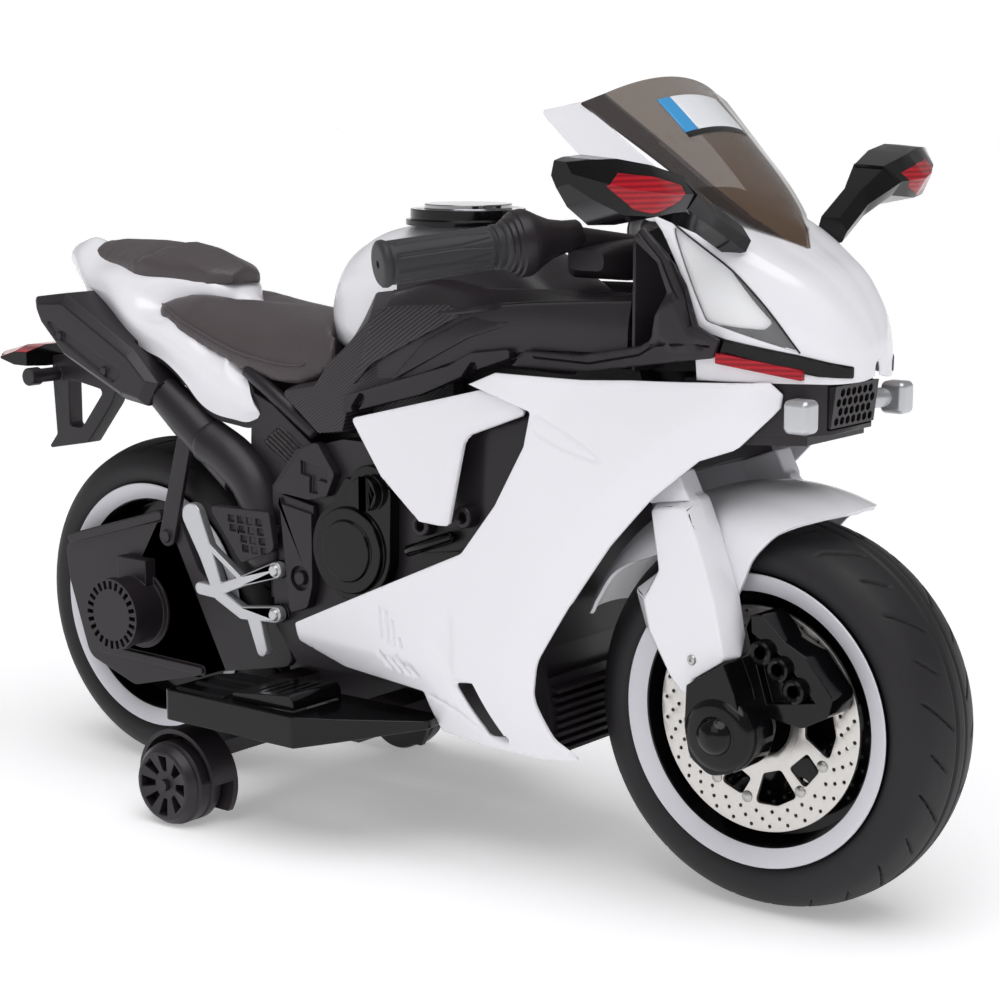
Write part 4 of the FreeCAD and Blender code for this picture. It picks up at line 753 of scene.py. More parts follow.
def bar_cover():
    rows = []
    for y, back, front, low, high in COVER_ROWS:
        ring = rounded(((back, low, 8), (front, low, 8), (front, high, 10), (back, high, 10)))
        rows.append(np.column_stack([ring[:, 0], np.full(len(ring), y), ring[:, 1]]))
    return skinned(rows, 24)


piece("bar_cover", bar_cover(), black_satin, "steering", 40)


# Footboards and pedal: glossy black ABS trays screwed to the cross bars, with a hinged pedal of the same
# plastic in the right one.

for side in ("right", "left"):
    dress("footboard_" + side, black_gloss, 1.2)
dress("foot_pedal", black_gloss, 1.0)


# Tank: a gloss white dome clipped between black side mouldings, black at the front and on the flanks, under a
# metallised filler cap. Each row is a station, the crown, the shoulder and the half width.

TANK_ROWS = (
    (-128, 436, 438, 8), (-127, 454, 446, 13), (-122, 476, 462, 22), (-108, 503, 482, 34),
    (-80, 524, 494, 45), (-44, 535, 503, 50), (8, 538, 506, 50), (60, 536, 505, 50), (96, 523, 497, 50),
    (126, 502, 486, 50), (148, 483, 473, 50), (158, 468, 461, 48), (160, 440, 438, 44))
TANK_BASE = 432.0
TANK_SPLIT = 84.0
SIDE_TOP = 524.0
SIDE_FOOT = (-25.0, 480.0)
SIDE_LEAN = 0.6
CAP_BRIGHT = 5.0


def tank_dome():
    sections = []
    for x, crown, shoulder, half in TANK_ROWS:
        rise = crown - shoulder
        side = [(-half + 3, TANK_BASE), (-half, (TANK_BASE + shoulder) / 2), (-half + 1, shoulder - 3)]
        top = [(-half + 7, shoulder + 0.36 * rise), (-0.45 * half, shoulder + 0.86 * rise)]
        right = side + top + [(-0.15 * half, crown)]
        ring = right + [(-y, z) for y, z in reversed(right)]
        loop = through(ring, 72, True)
        sections.append(np.column_stack([np.full(len(loop), x), loop]))
    return skinned(sections, 90)


tank = piece("tank_dome", tank_dome(), white, sharp=60)
tank.data.materials.append(black_satin)
for face in tank.data.polygons:
    along = 1000 * face.center.x - SHIFT
    height = 1000 * face.center.z
    flanked = height < SIDE_TOP and along - SIDE_LEAN * (height - SIDE_FOOT[1]) > SIDE_FOOT[0]
    face.material_index = int(along > TANK_SPLIT or flanked)
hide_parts("tank_top")

# Vacuum-metallised plastic: mirror bright with a slight haze.
chrome = finished(
    "vacuum_chrome", "#a2a1a4", 0.1, {"Metallic": 1.0}, width=12.0, depth=0.03, low=0.06, high=0.16)
cap = dress("fuel_cap", chrome, 0.8)
cap.data.materials.append(black_gloss)
cap_top = max(vertex.co.z for vertex in cap.data.vertices)
for face in cap.data.polygons:
    face.material_index = int(1000 * (cap_top - face.center.z) > CAP_BRIGHT)


# Tank sides: black shrouds under the grips, smooth above a sharp knee line and flat below it, with an insert
# that imitates woven carbon. The ribbed plates behind them reach back under the seat.

KNEE_ROWS = (
    (-14, ((50, 484), (64, 480), (82, 464), (84, 461.5), (89, 438), (86, 410))),
    (24, ((50, 494), (66, 489), (84, 468), (86, 465.5), (91, 444), (88, 415))),
    (79, ((50, 490), (68, 485), (87, 473), (88.5, 471.5), (91, 452), (89, 433))),
    (130, ((50, 491), (68, 488), (87, 482), (88.5, 479.5), (90, 464), (88, 442))),
    (180, ((48, 489), (66, 488), (84, 486), (85.5, 483.5), (88, 468), (87, 447))),
    (245, ((46, 494), (62, 493), (79, 490), (81, 487.5), (85, 470), (86, 448))))
WEAVE_EDGE = (
    (-13, 466, 3), (-7, 471, 3), (23, 475), (64, 478, 4), (80, 470, 2), (40, 450), (-15, 423),
    (-40, 400, 2), (-24, 431))
STRAP_EDGE = ((44, 447, 2), (84, 467, 2), (150, 486, 3), (146, 470), (90, 452), (2, 408, 2))
KNEE_WALL = 2.5
KNEE_HALF = 91.0
KNEE_LEVEL = 440.0
KNEE_CURVE = 0.0042
INSERT_WALL = 4.0
WAVE_SCALE = 314.0


def lofted(rows, along, across):
    # A grid through rows of a station and its line. All lines have the same number of points.
    stations = [x for x, _ in rows]
    lines = [hermite(range(len(line)), line, np.linspace(0, len(line) - 1, across)) for _, line in rows]
    walk = np.linspace(stations[0], stations[-1], along)
    flat = hermite(stations, np.array(lines).reshape(len(rows), -1), walk).reshape(along, across, 2)
    return np.concatenate([np.repeat(walk[:, None, None], across, 1), flat], 2)


def knee_face(proud):
    def place(points):
        lean = KNEE_CURVE * np.clip(points[:, 1] - KNEE_LEVEL, 0, 60) ** 2
        return at_side(points, KNEE_HALF + proud - lean)
    return place


def ribbed_polypropylene(name, pitch, depth):
    # The same black polypropylene with slanting ribs this many millimetres apart moulded into it. Its colour
    # is darker in the grooves and lighter on the ridges: painted shade and painted highlight. A wave texture
    # of WAVE_SCALE has a period of one millimetre.
    material, tree, shader = surface(name, "#292428", 0.42, {"IOR": 1.49})
    place = grained(tree, shader, 1.1, 0.03, 0.34, 0.46)
    slant = add(tree, "ShaderNodeMapping", {"Vector": place, "Rotation": (0, math.radians(35), 0)})
    wave = {"Vector": slant.outputs["Vector"], "Scale": WAVE_SCALE / pitch}
    ribs = add(tree, "ShaderNodeTexWave", wave, bands_direction="Z")
    relief = add(tree, "ShaderNodeBump", {"Height": ribs.outputs["Fac"], "Distance": depth / 1000})
    # Dark in the grooves and light on the ridges: painted shade and painted highlight.
    painted_shade_colours = {0: ribs.outputs["Fac"], 1: linear("#171417"), 2: linear("#3a3439")}
    tint = add(tree, "ShaderNodeMixRGB", painted_shade_colours)
    tree.links.new(relief.outputs["Normal"], shader.inputs["Normal"])
    tree.links.new(tint.outputs["Color"], shader.inputs["Base Color"])
    return material


dress("tank_sides", ribbed_polypropylene("ribbed_polypropylene", 2.4, 0.3), 1.2)
shroud = shelled(lofted(KNEE_ROWS, 70, 61) * (1, -1, 1), KNEE_WALL)
pair("knee_shrouds", shroud, black_satin, sharp=28)
insert = sheet(rounded(WEAVE_EDGE), knee_face(3.0), INSERT_WALL)
# The insert stands for the weave with the same ribs, with the same painted shade in the grooves and painted
# highlight on the ridges.
pair("weave_inserts", insert, ribbed_polypropylene("carbon_look_painted_shade", 3.2, 0.4))
pair("knee_straps", sheet(rounded(STRAP_EDGE), knee_face(2.2), INSERT_WALL), black_satin)


# Side fairings: gloss white shells from the nose down to the belly, screwed to the engine halves. A bevelled
# band follows the wheel arch, and slots, leaf-shaped hollows and a scoop are pressed into the flank.

FLANK_LEVELS = (96, 150, 180, 192, 240, 320, 400, 455)
FLANK = (
    (-120, (66, 95, 108.6, 109.2, 110, 107, 103, 100)),
    (0, (78, 108, 118.4, 119, 119, 115, 110, 106)),
    (100, (86, 115, 122.5, 123.2, 124, 120, 114, 110)),
    (190, (88, 113, 120.5, 121.6, 124, 121, 116, 112)),
    (290, (82, 102, 109.4, 110.6, 114, 112, 105, 100)),
    (410, (60, 74, 79.6, 80, 80, 72, 62, 56)))
FAIRING = (
    (-92, 190, 3), (106, 278, 14), (140, 322), (167, 372, 10), (172, 400, 3), (106, 417), (134, 428.5, 4),
    (220, 429), (262, 431.5), (368, 434), (377, 425, 3), (375, 415, 3), (367, 406, 6), (345, 382, 12),
    (318, 372), (282, 340), (248, 300), (214, 250, 30), (180, 196, 40), (174, 164, 30), (188, 128, 10),
    (209, 113, 3), (176, 109), (112, 108, 6), (62, 114, 4), (58, 152, 3), (-36, 158, 20), (-88, 174, 5))
ARCH = (
    (368, 407), (345, 382), (318, 372), (282, 340), (248, 300), (214, 250), (184, 196), (176, 164),
    (188, 128), (209, 113))
ARCH_BAND = 29.0
ARCH_TURN = 6.5
ARCH_FADE = (120.0, 180.0)
ARCH_LEAST = 0.25
LEAF = ((64, 196), (82, 222), (99, 238), (101, 200), (98, 168), (80, 178))
LEAF_SINK = 2.4
LEAF_SLOPE = 9.0
SCOOP_LEFT = (84, 112)
SCOOP_RIGHT = (117, 137)
SCOOP_TOP = 168.0
SCOOP_FOOT = 122.0
SCOOP_MOUTH = ((96, 166, 3), (SCOOP_RIGHT[0], SCOOP_TOP, 3), (SCOOP_RIGHT[1], SCOOP_FOOT, 5), (119, 121, 4))
SCOOP_SINK = 13.0
FAIRING_WALL = 3.0
UPRIGHT_SLITS = (
    ((15, 219), (17, 196)), ((23, 216), (25, 192)), ((30, 211), (32, 190)), ((38, 197), (40, 190)))
SLANTED_SLITS = (
    ((14, 180), (26, 169)), ((24, 179), (36, 168)), ((34, 178), (46, 167)), ((46, 174), (54, 167)))
BELLY_SEAM = ((64, 150), (78, 146), (96, 139), (112, 128))
LEAF_LINE = ((176, 398), (196, 392), (222, 380), (240, 368), (214, 372), (190, 380), (176, 388))


def flank(points):
    columns = np.stack([hermite(FLANK_LEVELS, halves, points[:, 1]) for _, halves in FLANK])
    stations = [x for x, _ in FLANK]
    return hermite(stations, columns, points[:, 0], np.arange(len(points)))


def eased(share):
    share = np.clip(share, 0, 1)
    return share * share * (3 - 2 * share)


def fairing_face(points):
    x = points[:, 0]
    z = points[:, 1]
    band = np.clip(1 - gap_to(ARCH, points) / ARCH_BAND, 0, 1)
    fade = np.clip((z - ARCH_FADE[0]) / (ARCH_FADE[1] - ARCH_FADE[0]), ARCH_LEAST, 1)
    leaf = within(np.array(LEAF), points) * eased(gap_to(LEAF, points, True) / LEAF_SLOPE)
    drop = np.clip((SCOOP_TOP - z) / (SCOOP_TOP - SCOOP_FOOT), 0, 1)
    left = SCOOP_LEFT[0] + (SCOOP_LEFT[1] - SCOOP_LEFT[0]) * drop
    right = SCOOP_RIGHT[0] + (SCOOP_RIGHT[1] - SCOOP_RIGHT[0]) * drop
    ramp = eased((x - left) / (right - left)) * (x < right)
    inside = eased((SCOOP_TOP + 3 - z) / 7) * eased((z - SCOOP_FOOT + 6) / 8)
    sunk = ARCH_TURN * band * fade
    return at_side(points, flank(points) - sunk - LEAF_SINK * leaf - SCOOP_SINK * ramp * inside)


def twin(made, name):
    # The same piece for the other side, as an object of its own.
    mesh = made.data.copy()
    mesh.transform(Matrix.Scale(-1, 4, (0, 1, 0)))
    mesh.flip_normals()
    other = bpy.data.objects.new(name, mesh)
    bpy.context.scene.collection.objects.link(other)
    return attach(other, made["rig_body"])


scores = [(line, 2.0, 3.2) for line in UPRIGHT_SLITS]
scores += [(line, 1.8, 2.4) for line in SLANTED_SLITS]
scores += [(BELLY_SEAM, 1.0, 0.9), (through(LEAF_LINE, 24, True), 1.4, 0.6)]
shell = sheet(rounded(FAIRING), fairing_face, FAIRING_WALL, [rounded(SCOOP_MOUTH)], scores, roll=1.2)
right_fairing = piece("fairing_right", shell, white, sharp=55)
left_fairing = twin(right_fairing, "fairing_left")
for side, made in (("right", right_fairing), ("left", left_fairing)):
    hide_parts("side_fairing_" + side)


# Infill panels: flat plates of the same gloss white ABS with a folded front edge, clipped in behind the
# fairing and the spar.

INFILL = (
    (-32, 376, 4), (112, 412, 6), (150, 409, 4), (160, 396, 4), (96, 372, 10), (82, 296, 3), (52, 297, 3),
    (6, 330))
INFILL_SINK = 8.0
INFILL_FOLD = ((160, 396), (96, 372), (82, 296))
FOLD_REACH = 8.0
FOLD_SINK = 4.0


def infill_face(points):
    fold = np.clip(1 - gap_to(INFILL_FOLD, points) / FOLD_REACH, 0, 1)
    return at_side(points, flank(points) - INFILL_SINK - FOLD_SINK * fold)


infill = pair("infill_plates", sheet(rounded(INFILL), infill_face, FAIRING_WALL), white)
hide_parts("infill_panels")


# Engine bay: a dark duct wall behind the fairing's cut-out with two ring bosses and a tie rod, the exhaust
# elbow, the seat rail that runs down from the tail, and a panel of cooling fins. All are polypropylene,
# screwed to the engine halves.

DUCT = ((72, 366, 3), (152, 394, 3), (146, 365), (91, 272, 4), (20, 262, 3), (40, 296, 3), (67, 296, 2))
RING_BOSS = ((0.01, 88), (4.2, 88), (4.4, 95), (5.4, 96.5), (8.4, 96.5), (9.4, 95.5), (9.8, 84), (0.01, 84))
DUCT_HALF = 84.0
DUCT_BEND = 102.0
DUCT_LEAN = 0.28
ELBOW = ((-234, -70, 334), (-204, -70, 320), (-178, -70, 299), (-164, -70, 268), (-161, -70, 232))
ELBOW_RADIUS = 21.0
TIE_ROD = ((22, -90, 265), (70, -90, 283))
SEAT_RAIL = ((-190, -63, 402), (-106, -66, 353))
FIN_PANEL = ((-184, 384, 3), (-158, 374, 3), (-104, 338, 3), (-106, 296, 3), (-146, 290, 3), (-186, 334, 3))
FIN_LINES = [((-149 - 3.6 * n, 354 - 2.8 * n), (-110 - 3.2 * n, 330 - 3.0 * n)) for n in range(6)]
FIN_HALF = 66.0
FIN_PROUD = 2.0
FIN_WIDE = 0.9


def duct_face(points):
    return at_side(points, DUCT_HALF - DUCT_LEAN * np.clip(points[:, 0] - DUCT_BEND, 0, 60))


def fin_face(points):
    ribs = np.max([np.clip(1.6 - gap_to(line, points) / FIN_WIDE, 0, 1) for line in FIN_LINES], axis=0)
    return at_side(points, FIN_HALF + FIN_PROUD * ribs)


def tube(path, radius, count=20):
    # A round bar along a line of points, with rounded ends.
    path = np.asarray(path, float)
    way = np.gradient(path, axis=0)
    way /= np.linalg.norm(way, axis=1)[:, None]
    side = np.cross(way, (0.1, 1, 0.2))
    side /= np.linalg.norm(side, axis=1)[:, None]
    up = np.cross(side, way)
    turn = np.linspace(0, 2 * math.pi, count, endpoint=False)[:, None, None]
    rings = [path[0] - way[0] * radius * 0.6, path[0] - way[0] * radius * 0.4]
    rings += list(path) + [path[-1] + way[-1] * radius * 0.4, path[-1] + way[-1] * radius * 0.6]
    sizes = np.array([0.01, 0.7] + [1.0] * len(path) + [0.7, 0.01]) * radius
    side = np.vstack([side[:1], side[:1], side, side[-1:], side[-1:]])
    up = np.vstack([up[:1], up[:1], up, up[-1:], up[-1:]])
    points = np.array(rings) + sizes[:, None] * (np.cos(turn) * side + np.sin(turn) * up)
    return points.reshape(-1, 3), quads(count, len(rings), True)


BAY = (
    ("duct_walls", sheet(rounded(DUCT), duct_face, 2.5, step=5), black_satin, 40),
    ("ring_bosses_0", turned(RING_BOSS, 86, 302, 40), black_satin, 30),
    ("ring_bosses_1", turned(RING_BOSS, 40, 290, 40), black_satin, 30),
    ("exhaust_elbows", tube(through(ELBOW, 40), ELBOW_RADIUS, 40), black_satin, 50),
    ("tie_rods", tube(TIE_ROD, 5.0), black_gloss, 40),
    ("seat_rails", tube(SEAT_RAIL, 7.0, 32), black_satin, 40),
    ("cooling_fins", sheet(rounded(FIN_PANEL), fin_face, 8.0, step=1.4, roll=0.8), black_satin, 40))
for name, form, material, sharp in BAY:
    pair(name, form, material, sharp=sharp)


# Nose structure: the dark beam, the honeycomb grille and the dash plate, moulded in polypropylene and screwed
# to the main frame. The two rocker switches snap into the dash.

for node, edge in (("nose_beam", 0.8), ("nose_grille", 0), ("dash_panel", 0.8)):
    dress(node, black_satin, edge)
for node in ("power_switch", "direction_switch"):
    dress(node, black_gloss, 0.5)


# Nose side frames: black mouldings with a double strip behind each headlight over a raised block, and an arm
# back along the fairing. Dash wings close the space between the frames and the dash.

SIDE_FRAME = (
    (254, 540, 3), (265, 549, 3), (288, 528), (303, 506), (314, 476, 3), (334, 466, 2), (329, 452, 3),
    (296, 447), (214, 433), (136, 432), (150, 446), (204, 446), (262, 457, 8), (273, 463, 8),
    (276, 482, 5), (283, 493, 5), (287, 500), (278, 522))
FRAME_BLOCK = ((277, 484), (284, 496), (298, 498), (311, 476), (330, 464), (296, 455), (277, 462))
FRAME_LINES = (
    ((261, 545), (283, 524), (294, 502), (297, 498)), ((269, 546), (290, 525), (303, 501), (310, 476)),
    ((272, 458), (300, 461), (326, 461)), ((160, 441), (214, 440), (262, 450), (276, 458)))
FRAME_HALF = 95.0
BLOCK_PROUD = 3.5
STRIP_PROUD = 1.6
STRIP_REACH = 7.0
DASH_WING = ((-90, 436, 2), (-90, 540, 6), (-50, 549, 2), (-50, 436, 2))
DASH_STATION = 252.0


def frame_face(points):
    block = within(np.array(FRAME_BLOCK), points) * eased(gap_to(FRAME_BLOCK, points, True) / 4)
    strip = np.clip(1 - gap_to(FRAME_LINES[0], points) / STRIP_REACH, 0, 1)
    return at_side(points, FRAME_HALF + BLOCK_PROUD * block + STRIP_PROUD * strip)


def dash_wing(points):
    return np.column_stack([np.full(len(points), DASH_STATION), points])


frame_scores = [(line, 1.1, 1.6) for line in FRAME_LINES]
side_frame = sheet(rounded(SIDE_FRAME), frame_face, 4.5, scores=frame_scores, roll=1.2)
frames = pair("side_frames", side_frame, black_satin)
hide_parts("nose_side_frames")
wing = sheet(rounded(DASH_WING), dash_wing, 3.0, step=6, roll=0.8, out=(-1, 0, 0))
pair("dash_wings", wing, black_satin)


# Nose cowl: one gloss white shell from the cheeks to the beak, open for the headlights and clipped to the
# side frames. Each row is a section at one run, from its lower edge up to the ridge.

NOSE_RUN = (262, 312, 356, 390, 407, 418, 430, 441)
NOSE_X = (262, 312, 356, 390, 407, 414.5, 418.5, 419.5)
NOSE_SHARES = (0, 0.16, 0.39, 0.59, 0.82, 1)
NOSE_FLOOR = 433.0
NOSE_HALF = 190.0
NOSE_ROWS = (
    ((90, NOSE_FLOOR), (90, 470), (91, 520), (86, 556), (46, 574), (0, 577)),
    ((88, NOSE_FLOOR), (88, 464), (88, 508), (78, 545), (34, 556), (0, 558)),
    ((74, NOSE_FLOOR), (74, 452), (75, 490), (64, 523), (22, 530), (0, 531)),
    ((55, NOSE_FLOOR), (55, 442), (56, 474), (46, 500), (14, 506), (0, 507)),
    ((43, NOSE_FLOOR), (43, 437), (43, 462), (34, 480), (10, 485), (0, 486)),
    ((31, 433.5), (31, 436), (30, 452), (23, 467), (7, 471), (0, 472)),
    ((17, 434.5), (17, 436), (17, 446), (13, 456), (4, 459), (0, 460)),
    ((4, 437), (4, 438), (4, 442), (3, 446), (1, 448), (0, 448)))
HEADLIGHT = (
    (284, 553, 3), (298, 522), (309, 499, 20), (318, 479, 6), (385, 457, 2), (368, 483), (354, 500),
    (336, 518), (315, 533))
LAMP_BEZEL = (
    (331, 522, 2), (354, 500), (368, 483), (384, 458, 2), (324, 477, 2), (344, 474.5), (361, 473.5, 6),
    (367, 479, 6), (352, 496))
CHEEK = ((262, 560), (270, 553), (277, 546), (294, 518), (302, 499), (308, 474), (311, 433.5))
NOSE_BAND = (
    (309, 474, 2), (334, 466), (384, 455.5), (404, 450), (420, 446, 2), (420, 437, 2), (396, 439),
    (340, 452, 3), (324, 452, 3), (309, 460, 2))


def nose_place(points):
    # Points are (run from the cheeks, millimetres across from the ridge, right side negative).
    share = 1 - np.abs(points[:, 1]) / NOSE_HALF
    spots = []
    for axis in (0, 1):
        columns = [hermite(NOSE_SHARES, [spot[axis] for spot in row], share) for row in NOSE_ROWS]
        spots.append(hermite(NOSE_RUN, np.stack(columns), points[:, 0], np.arange(len(points))))
    return np.stack([hermite(NOSE_RUN, NOSE_X, points[:, 0]), np.sign(points[:, 1]) * spots[0], spots[1]], 1)


def on_nose(outline, side):
    # A side-view outline brought onto the cowl's own surface.
    walk = np.linspace(-NOSE_HALF, -0.1 * NOSE_HALF, 200)
    laid = []
    for x, z in outline:
        heights = nose_place(np.column_stack([np.full(200, x), walk]))[:, 2]
        laid.append((x, -side * np.interp(z, heights, walk)))
    return np.array(laid)


lamp_edge = stepped(rounded(HEADLIGHT), 4)
lamp_mouths = [on_nose(lamp_edge, side) for side in (-1, 1)]
cheek = on_nose(CHEEK, -1)
beak = NOSE_RUN[-1]
cowl_edge = np.vstack([((beak, -NOSE_HALF), (beak, NOSE_HALF)), cheek[::-1] * (1, -1), cheek])
nose_shell = sheet(cowl_edge, nose_place, 1.8, lamp_mouths, step=3.5, roll=1.2, out=(0.3, 0, 1))
cowl = piece("nose_shell", nose_shell, white)
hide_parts("nose_cowl")


# Nose bands: gloss black ABS trim under the headlights, stuck to the cowl from the side frames to the beak.
# They stand a little proud of the white.

def proud_of_nose(points):
    spots = nose_place(points)
    return spots + (0.4, 0, 0) + np.sign(spots[:, 1:2]) * (0, 1.4, 0)


band_edge = on_nose(stepped(rounded(NOSE_BAND), 5), -1)
band = sheet(band_edge, proud_of_nose, 2.0, step=5, roll=0.8)
pair("nose_bands", band, black_gloss)


# Headlights: clear polycarbonate lenses set in the cowl with a black gasket, over a pale reflector tray with
# a dark bezel.

GASKET = ((285, 552), (315, 533), (336, 518), (354, 500), (368, 483), (385, 457))


def sunk_in_nose(depth):
    def place(points):
        spots = nose_place(points)
        return spots - (0.3 * depth, 0, 0) - np.sign(spots[:, 1:2]) * (0, depth, 0)
    return place


# Clear polycarbonate: water white, thin enough to see through, with a sharp shine.
lens_clear = finished(
    "clear_polycarbonate", "#fafbfd", 0.04, {"IOR": 1.585, "Alpha": 0.09}, width=14.0, depth=0.02, low=0.03,
    high=0.07)
# Satin aluminised tray: very pale silver that scatters the light behind the lens.
reflector = finished("satin_reflector", "#fbfbfd", 0.4, {}, width=3.0, depth=0.05, low=0.26, high=0.4)
lens_sheet = sheet(lamp_mouths[0], nose_place, 1.6, step=5, roll=0.6)
lens = pair("headlight_lenses", lens_sheet, lens_clear)
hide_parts("headlights")
tray = sheet(lamp_mouths[0], sunk_in_nose(5), 1.5, step=5, roll=0.5)
pair("headlight_trays", tray, reflector)
bezel_edge = on_nose(stepped(rounded(LAMP_BEZEL), 4), -1)
bezel = sheet(bezel_edge, sunk_in_nose(3), 1.5, roll=0.5)
pair("headlight_bezels", bezel, black_gloss)
gasket = tube(nose_place(on_nose(through(GASKET, 40), -1)), 0.8, 8)
pair("headlight_gaskets", gasket, black_satin, sharp=60)


# Red lamps: running strips under the cowl, mirror lenses and the top of the tail lamp, moulded in acrylic and
# snapped into their housings.

PRISM_PITCH = 3.925


def red_acrylic():
    # Red acrylic: deep saturated red, glossy, with prism lines about 4 mm apart under the surface. The red is
    # lighter on the lines and darker between them: painted highlight and painted shade.
    material, tree, shader = surface("red_acrylic", "#a00d1c", 0.14, {"IOR": 1.38})
    place = add(tree, "ShaderNodeTexCoord").outputs["Object"]
    wave = {"Vector": place, "Scale": WAVE_SCALE / PRISM_PITCH}
    prism = add(tree, "ShaderNodeTexWave", wave, bands_direction="Z")
    relief = add(tree, "ShaderNodeBump", {"Height": prism.outputs["Fac"], "Distance": 0.0001})
    # Lighter and darker red along the prism lines: painted highlight and painted shade.
    painted_shade_colours = {0: prism.outputs["Fac"], 1: linear("#86091a"), 2: linear("#b81526")}
    tint = add(tree, "ShaderNodeMixRGB", painted_shade_colours)
    tree.links.new(relief.outputs["Normal"], shader.inputs["Normal"])
    tree.links.new(tint.outputs["Color"], shader.inputs["Base Color"])
    return material


red = red_acrylic()
for node in ("running_lamps", "mirror_lenses"):
    dress(node, red, 0.6)
tail_lamp = dress("tail_lamp", black_gloss, 0.6)
tail_lamp.data.materials.append(red)
for face in tail_lamp.data.polygons:
    face.material_index = int(face.normal.z > 0.5)


# Windscreen: a sheet of smoked acrylic folded along both sides and bowed between, screwed to the nose. A
# bare white plate with a blue band and a black lower edge is stuck to it.

SCREEN_ROWS = (
    (212, 103, 643, 14, 20), (262, 82, 604, 14, 15), (306, 62, 569, 12, 9), (326, 46, 553, 9, 7),
    (344, 20, 540, 6, 5), (356, 2, 532, 0, 0))
SCREEN_FOLD = 0.77
SCREEN_EDGE = 0.34
SCREEN_WALL = 2.4
FOLD_BACK = 4.0
PLATE_HALF = 42.0
PLATE = (229, 261)
PLATE_BAND = 15.0
PLATE_FOOT = 4.0


def screen_values(stations):
    table = np.array(SCREEN_ROWS, float)
    return [hermite(table[:, 0], table[:, k], stations) for k in (1, 2, 3, 4)]


def screen_place(points):
    # Points are (millimetres across, station): the bow is a flat arch between two folds.
    half, z, bow, rise = screen_values(points[:, 1])
    share = np.abs(points[:, 0]) / half
    middle = 1 - (1 - SCREEN_EDGE) * (share / SCREEN_FOLD) ** 2
    bulge = np.where(share < SCREEN_FOLD, middle, SCREEN_EDGE * (1 - share) / (1 - SCREEN_FOLD))
    return np.stack([points[:, 1] + bow * bulge, points[:, 0], z + rise * bulge], 1)


def screen_sheet():
    stations = np.linspace(SCREEN_ROWS[0][0], SCREEN_ROWS[-1][0], 70)
    half = screen_values(stations)[0]
    inner = np.linspace(-SCREEN_FOLD, SCREEN_FOLD, 57)
    outer = np.linspace(SCREEN_FOLD, 1, 9)[1:]
    across = np.concatenate([-outer[::-1], inner, outer])
    spots = np.stack([across[None, :] * half[:, None], np.repeat(stations[:, None], len(across), 1)], -1)
    grid = screen_place(spots.reshape(-1, 2)).reshape(len(stations), len(across), 3)
    return shelled(grid[:, ::-1], SCREEN_WALL)


def smoked_acrylic(name, colour, clear):
    # Smoked acrylic: brown tint that darkens what is behind it, with a clean gloss.
    inputs = {"IOR": 1.49, "Alpha": 1 - clear, "Coat Weight": 0.4}
    return finished(name, colour, 0.05, inputs, width=16.0, depth=0.02, low=0.03, high=0.08)


def printed_film(name, colour):
    # Glossy adhesive film, very slightly mottled.
    return finished(name, colour, 0.3, {"Coat Weight": 0.3}, width=4.0, depth=0.01, low=0.24, high=0.36)


def plate_part(name, left, right, top, foot, material):
    def place(points):
        return screen_place(points) + (0.5, 0, 0.9)
    edge = np.array(((left, top), (right, top), (right, foot), (left, foot)), float)
    piece(name, sheet(edge, place, 0.8, roll=0.3, out=(0.5, 0, 1)), material)


tinted = smoked_acrylic("smoked_acrylic", "#5f4936", 0.36)
screen = piece("folded_windscreen", screen_sheet(), tinted, sharp=20)
# The strips outside the folds get a darker, less clear smoke: painted shade for the sides that turn away from
# the light.
screen.data.materials.append(smoked_acrylic("smoked_acrylic_fold_painted_shade", "#2f2522", 0.16))
for face in screen.data.polygons:
    half = screen_values(np.array([1000 * face.center.x - SHIFT - FOLD_BACK]))[0][0]
    face.material_index = int(abs(1000 * face.center.y) > SCREEN_FOLD * half)
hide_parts("windscreen")
film_white = printed_film("white_film", "#eef0f5")
film_blue = printed_film("blue_film", "#3d9bd8")
film_black = printed_film("black_film", "#17171a")
film_edge = PLATE[1] - PLATE_FOOT
plate_part("bare_plate", PLATE_BAND - PLATE_HALF, PLATE_HALF, PLATE[0], film_edge, film_white)
plate_part("plate_band", -PLATE_HALF, PLATE_BAND - PLATE_HALF, PLATE[0], film_edge, film_blue)
plate_part("plate_foot", -PLATE_HALF, PLATE_HALF, film_edge, PLATE[1], film_black)


# Screen flanks: thin wings of gloss white ABS, clipped to the cheeks and reaching up to the top corners of
# the windscreen.

FLANK_CORNERS = np.array(((164, -99, 640), (210, -101, 643), (318, -62, 552), (262, -86, 553)), float)
WING_WIDE = 50.0
WING_TALL = 100.0
WING_BOW = 5.0
WING_EDGE = ((0, 4, 8), (WING_WIDE, 0, 3), (WING_WIDE, WING_TALL, 3), (0, WING_TALL, 3))


def screen_wing(points):
    across = points[:, :1] / WING_WIDE
    down = points[:, 1:] / WING_TALL
    top = FLANK_CORNERS[0] * (1 - across) + FLANK_CORNERS[1] * across
    low = FLANK_CORNERS[3] * (1 - across) + FLANK_CORNERS[2] * across
    bow = WING_BOW * np.sin(math.pi * np.clip(down, 0, 1))
    return top * (1 - down) + low * down - bow * (0, 1, 0)


pair("screen_wings", sheet(rounded(WING_EDGE), screen_wing, 2.5, step=5, roll=0.8), white)


# Mirrors: gloss black ABS cups on stalks, each screwed to the cowl by its foot. Their red lenses are dressed
# with the other red lamps.

for side in ("right", "left"):
    dress("mirror_" + side, black_gloss, 0)


# Tail cowl: a white hump behind the seat with arms that sweep forward on both sides, moulded in one. A
# black lining shows as a thin line along its lower edge.

